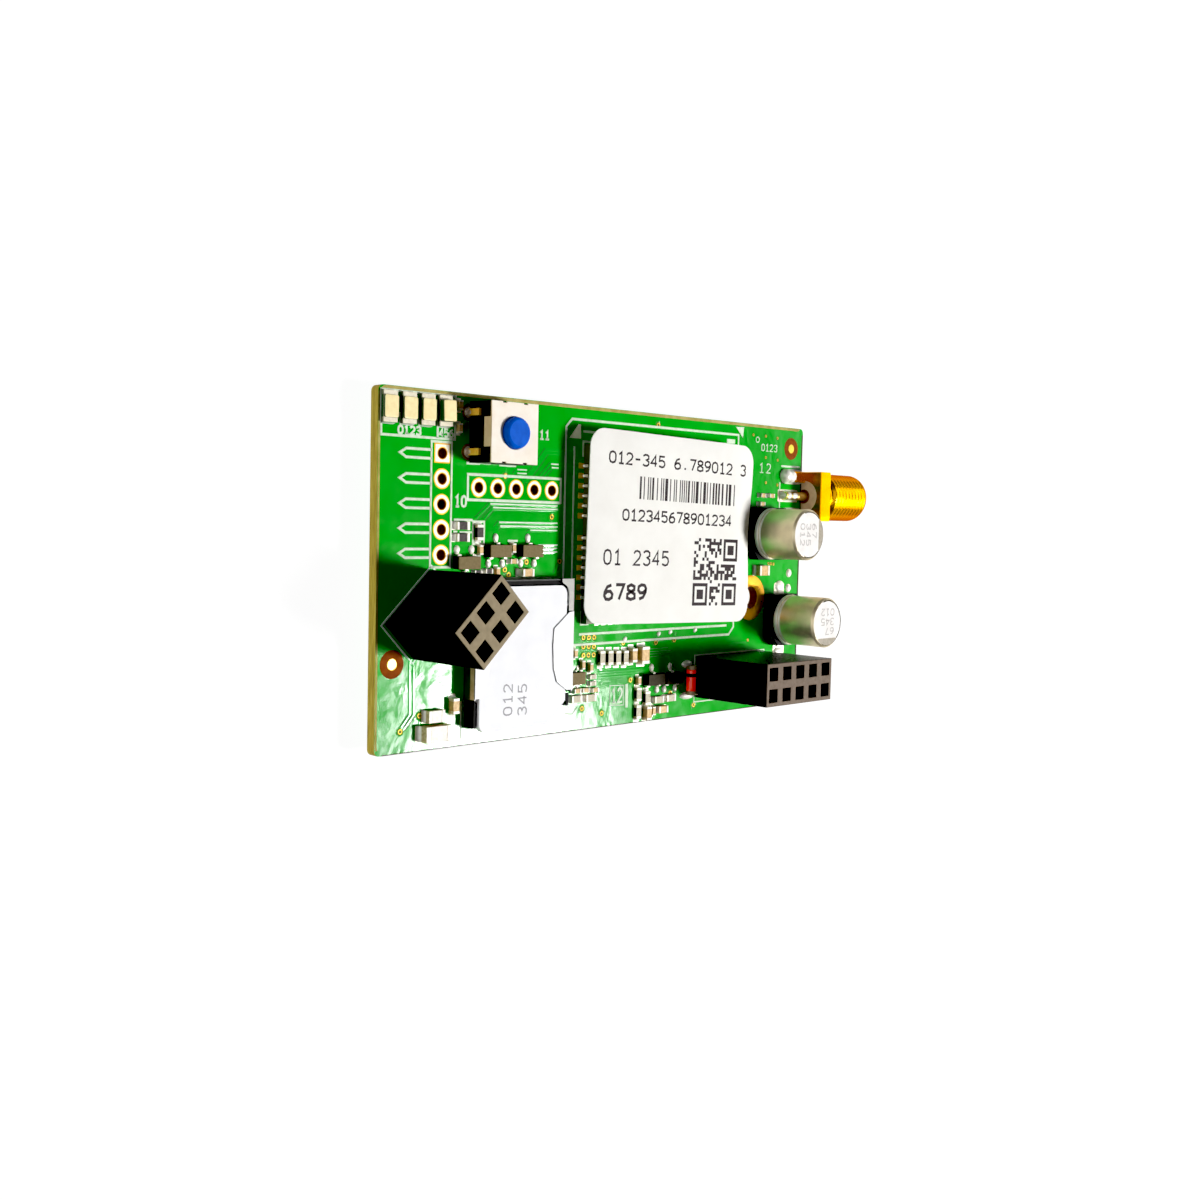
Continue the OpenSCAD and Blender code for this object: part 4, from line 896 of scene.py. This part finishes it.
top = []
for v in vs:
    for u in us:
        x, y = on_label(*corner(u, v))
        top.append((x, y, 2.765 + droop(x, y)))
nu, nv = len(us), len(vs)
faces = []
for j in range(nv - 1):
    for i in range(nu - 1):
        a = j * nu + i
        faces.append((a, a + 1, a + nu + 1, a + nu))
n = len(top)
under = [(x, y, z - 0.11) for x, y, z in top]
faces += [tuple(n + k for k in reversed(f)) for f in faces]
rim = [i for i in range(nu)] + [j * nu + nu - 1 for j in range(1, nv)] + [(nv - 1) * nu + i for i in range(nu - 2, -1, -1)] + [j * nu for j in range(nv - 2, 0, -1)]
for k in range(len(rim)):
    a, b = rim[k], rim[(k + 1) % len(rim)]
    faces.append((a, n + a, n + b, b))
label.add(top + under, faces)
lab = label.make("label_sheet", M["paper"], "label_paper", smooth=True, angle=50)
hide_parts("module_label")

pr = Shape()
TOP = 2.766


def printed(text, u, v, w, h, step, stroke, deg=0.0):
    figures(pr, text, u, v, w, h, step, stroke, TOP, TOP + 0.006, deg, on_label, droop)


printed("012-345 6.789012 3", -11.2, 7.08, 0.95, 1.22, 1.33, 0.22)
rnd = random.Random(5)
u = -6.25
while u < 10.6:
    wbar = rnd.choice((0.16, 0.16, 0.3, 0.46))
    q = [on_label(u, 3.3), on_label(u + wbar, 3.3), on_label(u + wbar, 5.85), on_label(u, 5.85)]
    pr.loft([[(x, y, TOP + droop(x, y)) for x, y in q], [(x, y, TOP + 0.006 + droop(x, y)) for x, y in q]])
    u += wbar + rnd.choice((0.2, 0.2, 0.36, 0.5))
printed("012345678901234", -8.75, 0.86, 0.92, 1.18, 1.27, 0.22)
printed("01 2345", -11.45, -4.1, 1.05, 1.58, 1.57, 0.23)
printed("6789", -11.2, -8.0, 1.25, 1.65, 1.80, 0.36)
# block of squares at the lower right
cell = 8.0 / 21
rnd = random.Random(11)


def square(i, j, k=1):
    a, b = 3.45 + i * cell, -8.75 + j * cell
    q = [on_label(a, b), on_label(a + k * cell, b), on_label(a + k * cell, b + k * cell), on_label(a, b + k * cell)]
    pr.loft([[(x, y, TOP + droop(x, y)) for x, y in q], [(x, y, TOP + 0.006 + droop(x, y)) for x, y in q]])


for j in range(21):
    for i in range(21):
        near = [(0, 0), (14, 0), (14, 14)]
        if any(a - 1 <= i <= a + 7 and b - 1 <= j <= b + 7 for a, b in near):
            continue
        if rnd.random() < 0.48:
            square(i, j)
for a, b in ((0, 0), (14, 0), (14, 14)):
    for k in range(7):
        square(a + k, b); square(a + k, b + 6)
        if 0 < k < 6:
            square(a, b + k); square(a + 6, b + k)
    square(a + 2, b + 2, 3)
pr.make("label_print", M["ink"], "resistor_black")

# ------------------------------------------------------------------ marks on the cans and the card
mark, faint, coat, outline, canfig = Shape(), Shape(), Shape(), Shape(), Shape()


def can_top(cx, cy, deg, text):
    """Printed top of a can: a pale coat, a dark segment, a dark bow along the rim that is painted shade, and three rows
    of figures.
    """
    r, cut = 2.84, 1.95
    coat.slab(poly_circle(cx, cy, 2.88, 48), 7.68, 7.708, 0.006)
    a0 = math.acos(cut / r)
    arc = [(r * math.cos(a), r * math.sin(a)) for a in [-a0 + 2 * a0 * i / 18 for i in range(19)]]
    mark.slab(turned(arc, cx, cy, deg), 7.707, 7.713, 0.002)
    # dark bow along one side of the rim: painted shade
    bow = [(cx + 2.82 * math.cos(a), cy + 2.82 * math.sin(a)) for a in [math.radians(-110 + 220 * i / 30) for i in range(31)]]
    outline.line(bow, 0.15, 7.707, 7.712, 0.02)
    for i, row in enumerate(text):
        x, y = turned([(-1.75 + 1.2 * i, 1.35)], cx, cy, deg)[0]
        figures(canfig, row, x, y, 0.68, 0.82, 0.98, 0.16, 7.707, 7.713, deg - 90)


can_top(58.8, 22.25, 0, ("012", "345", "67"))
can_top(63.2, 11.2, 270, ("012", "345", "67"))
coat.make("can_coats", M["can_top"], "can_aluminium")
canfig.make("can_figures", M["can_ink"], "resistor_black")
mark.make("can_marks", M["dark_ink"], "resistor_black")
outline.make("can_top_rim_shade", M["edge_dark_shade"], "can_aluminium")
# rolled foot of each can, in the pale solder colour as a painted highlight
foot = Shape()
for cx, cy in ((58.8, 22.25), (63.2, 11.2)):
    foot.lathe(cx, cy, [(3.0, 1.605), (3.14, 1.61), (3.235, 1.70), (3.25, 1.85), (3.235, 2.05), (3.14, 2.18), (3.0, 2.22), (2.955, 2.3), (2.96, 2.5), (3.1, 2.6), (3.12, 2.605)], 56, caps=(False, False))
foot.make("can_feet", M["solder_lit"], "can_aluminium", smooth=True, angle=60)
figures(faint, "012", 16.0, 3.0, 0.78, 1.15, 1.2, 0.16, 1.796, 1.804, 90)
figures(faint, "345", 18.0, 2.85, 0.78, 1.15, 1.2, 0.16, 1.796, 1.804, 90)
faint.make("figures_grey", M["grey_ink"], "chip_black")

# moulded base of the right can, with cut corners towards the board edge
base = Shape()
hb, ch = 3.3, 1.13
octo = [(-hb, -hb + ch), (-hb + ch, -hb), (hb - ch, -hb), (hb, -hb + ch), (hb, hb - 1.5), (hb - 1.5, hb), (-hb + 0.1, hb), (-hb, hb - 0.1)]
octo = [(63.2 + a, 11.2 + b) for a, b in octo]
base.loft([[(*q, 0.15) for q in octo], [(*q, 1.52) for q in octo], [(63.2 + (q[0] - 63.2) * 0.975, 11.2 + (q[1] - 11.2) * 0.975, 1.6) for q in octo]])
cb = base.make("capacitor_2_moulding", M["black"], "black_plastic")
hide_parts("capacitor_2_base")

# thin tan strip on the upper part of the holder's left wall: painted light on its lit edge
edge_highlight = Shape()
edge_highlight.box(10.878, 10.9, 4.9, 13.4, 1.18, 1.80, 0.004)
edge_highlight.make("holder_edge_highlight", M["edge_highlight"], "plated_steel")

# grey corner plate of the card holder, cut round the corner of the card
plate = Shape()
plate.slab([(24.6, 13.62), (24.6, 17.1), (22.85, 17.1), (22.8, 16.8)] +
           [(22.6 + 1.27 * math.cos(math.radians(a)), 15.4 + 1.27 * math.sin(math.radians(a))) for a in (72, 60, 48, 36, 24, 12, 0)] +
           [(23.87, 13.62)], 1.815, 1.84, 0.008)
plate.make("holder_corner_plate", M["holder_grey"], "plated_steel")

# ------------------------------------------------------------------ antenna jack with its thread
jack = Shape()
JY, JZ, N = 27.2, 0.45, 72


def xring(x, r):
    return [(x, JY + r * math.cos(2 * math.pi * i / N), JZ + r * math.sin(2 * math.pi * i / N)) for i in range(N)]


def flange_ring(x, e):
    pts = []
    for i in range(N):
        a = 2 * math.pi * i / N
        c, s = math.cos(a), math.sin(a)
        k = min((3.2 - e) / abs(c) if abs(c) > 1e-6 else 9, ((2.75 if s > 0 else 3.4) - e) / abs(s) if abs(s) > 1e-6 else 9)
        pts.append((x, JY + k * c, JZ + k * s))
    return pts


jack.loft([xring(67.2, 2.05), flange_ring(67.2, 0.1), flange_ring(67.3, 0.0), flange_ring(69.25, 0.0), flange_ring(69.4, 0.12), xring(69.4, 2.05)], closed=True)
prof = [(69.4, 2.05), (69.4, 2.72), (69.95, 2.72)]
body = [xring(x, r) for x, r in prof]
pitch, x0, x1 = 0.705, 69.95, 77.4
steps = 96
for k in range(steps + 1):
    x = x0 + (x1 - x0) * k / steps
    row = []
    for i in range(N):
        ph = ((x - x0) / pitch - i / N) % 1.0
        d = abs(ph * 2 - 1)
        crest = min(1.0, max(0.0, 1.25 * (1 - d) - 0.05))
        r = 3.078 + 0.018 * crest
        e = max(0.0, 0.8 - (x1 - x)) / 0.8
        r = min(r, 3.1 - 0.36 * (1 - math.sqrt(max(0.0, 1 - e * e))), 2.72 + 1.4 * (x - x0 + 0.02))
        a = 2 * math.pi * i / N
        row.append((x, JY + r * math.cos(a), JZ + r * math.sin(a)))
    body.append(row)
body += [xring(77.4, 2.42), xring(77.36, 2.3), xring(75.5, 2.3), xring(75.5, 2.05)]
jack.loft(body, closed=True)
for y in (24.7, 29.7):
    for z0, z1 in ((0.0, 0.6), (-1.8, -1.2)):
        q = [(63.3, y - 0.7), (67.2, y - 0.7), (67.2, y + 0.7), (63.3, y + 0.7)]
        inner = [(63.38, y - 0.62), (67.2, y - 0.62), (67.2, y + 0.62), (63.38, y + 0.62)]
        lo, hi = [(a, b, z0) for a, b in q], [(a, b, z1) for a, b in inner]
        if z0 < 0:
            lo, hi = [(a, b, z0) for a, b in inner], [(a, b, z1) for a, b in q]
            jack.loft([lo, [(a, b, z0 + 0.08) for a, b in q], hi])
        else:
            jack.loft([lo, [(a, b, z1 - 0.08) for a, b in q], hi])
jk = jack.make("antenna_jack_threaded", M["gold"], "gold_plate", smooth=True, angle=30)
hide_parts("antenna_jack_body")
# dark ring round the pin's root on the insulator: painted shade
well = Shape()
well.loft([xring(67.195, 0.5), xring(67.165, 0.56), xring(67.165, 0.86), xring(67.195, 0.92)], closed=True)
well.make("jack_pin_well", M["recess"], "black_plastic", smooth=True)

# ------------------------------------------------------------------ stage
floor_me = bpy.data.meshes.new("floor")
floor_me.from_pydata([(-3, -3, 0), (3, -3, 0), (3, 3, 0), (-3, 3, 0)], [], [(0, 1, 2, 3)])
floor = bpy.data.objects.new("floor", floor_me)
bpy.context.scene.collection.objects.link(floor)
fm, ft, fb = blank("studio_floor")
fn = noise(ft, 12.0, 2.0)
fc = ramp(ft, fn.outputs["Fac"], [(0.3, (0.065, 0.065, 0.065)), (0.7, (0.08, 0.08, 0.08))])
ft.links.new(fc.outputs["Color"], fb.inputs["Base Color"])
fb.inputs["Roughness"].default_value = 0.9
fb.inputs["Emission Color"].default_value = (1, 1, 1, 1)
fb.inputs["Emission Strength"].default_value = 0.96
floor_me.materials.append(fm)

# pale wall far behind the floor, seen only where a low view looks past the floor's edge
turns = [2 * math.pi * i / 64 for i in range(64)]
wall_v = [(2.9 * math.cos(a), 2.9 * math.sin(a), z) for z in (-0.01, 2.0, 4.0) for a in turns]
wall_f = [(k * 64 + i, k * 64 + (i + 1) % 64, (k + 1) * 64 + (i + 1) % 64, (k + 1) * 64 + i) for k in (0, 1) for i in range(64)]
wall_me = bpy.data.meshes.new("backdrop")
wall_me.from_pydata(wall_v, [], wall_f)
wall = bpy.data.objects.new("backdrop", wall_me)
bpy.context.scene.collection.objects.link(wall)
wall_me.materials.append(fm)
wall.visible_diffuse = wall.visible_glossy = wall.visible_shadow = wall.visible_transmission = False


def area(name, x, y, z, sx, sy, power, target=None, turn=0.0, gloss_only=False, matte_only=False):
    d = bpy.data.lights.new(name, "AREA")
    d.shape = "RECTANGLE"
    d.size, d.size_y = sx / 1000.0, sy / 1000.0
    d.energy = power
    o = bpy.data.objects.new(name, d)
    o.location = P(x, y, z)
    if target:
        v = Vector(P(*target)) - o.location
        o.rotation_euler = v.to_track_quat("-Z", "Y").to_euler()
    else:
        o.rotation_euler = (0.0, 0.0, math.radians(turn))
    bpy.context.scene.collection.objects.link(o)
    o.visible_camera = False
    o.visible_diffuse = not gloss_only
    o.visible_glossy = not matte_only
    return o


area("softbox_key", 634, -188, 733, 168, 168, 9.4, turn=-18.5)
area("softbox_side", 734, -201, 733, 80, 112, 0.25, turn=-18.5)
area("softbox_high", 545, -90, 733, 147, 110, 5.0, matte_only=True)
area("ceiling_right", 1250, 18, 600, 800, 1400, 7.8, gloss_only=True)
area("wall_right", 1750, 18, 310, 2600, 600, 3.4, (67, 27, 3), gloss_only=True)
area("panel_right", 1255, -380, 733, 160, 160, 0.9, gloss_only=True)
area("card_front", -385, 40, 430, 500, 500, 1.0, (33, 18, 5), gloss_only=True)
area("reflector_left", -620, 20, 150, 800, 300, 1.3, (30, 18, 5))
world = bpy.data.worlds.new("studio")
bpy.context.scene.world = world
world.use_nodes = True
bg = world.node_tree.nodes["Background"]
bg.inputs["Color"].default_value = (1, 1, 1, 1)
bg.inputs["Strength"].default_value = 0.035
view = bpy.context.scene.view_settings
view.view_transform = "Standard"
view.use_curve_mapping = True
view.curve_mapping.black_level = (0.012, 0.012, 0.012)
view.curve_mapping.update()

cam = bpy.data.cameras.new("camera")
cam.sensor_fit = "HORIZONTAL"
cam.sensor_width = 36.0
cam.lens = 36.0 * 1309.61 / 1200.0
cam.clip_start, cam.clip_end = 0.005, 20.0
co = bpy.data.objects.new("camera", cam)
look = Vector((0.7019, -0.0604, -0.7097)).normalized()
upv = Vector((0.0265, 0.9979, -0.0587))
right = look.cross(upv).normalized()
upv = right.cross(look).normalized()
m = Matrix((right, upv, -look)).transposed().to_4x4()
m.translation = Vector(P(-73.21, 23.42, 104.73))
co.matrix_world = m
bpy.context.scene.collection.objects.link(co)
bpy.context.scene.camera = co
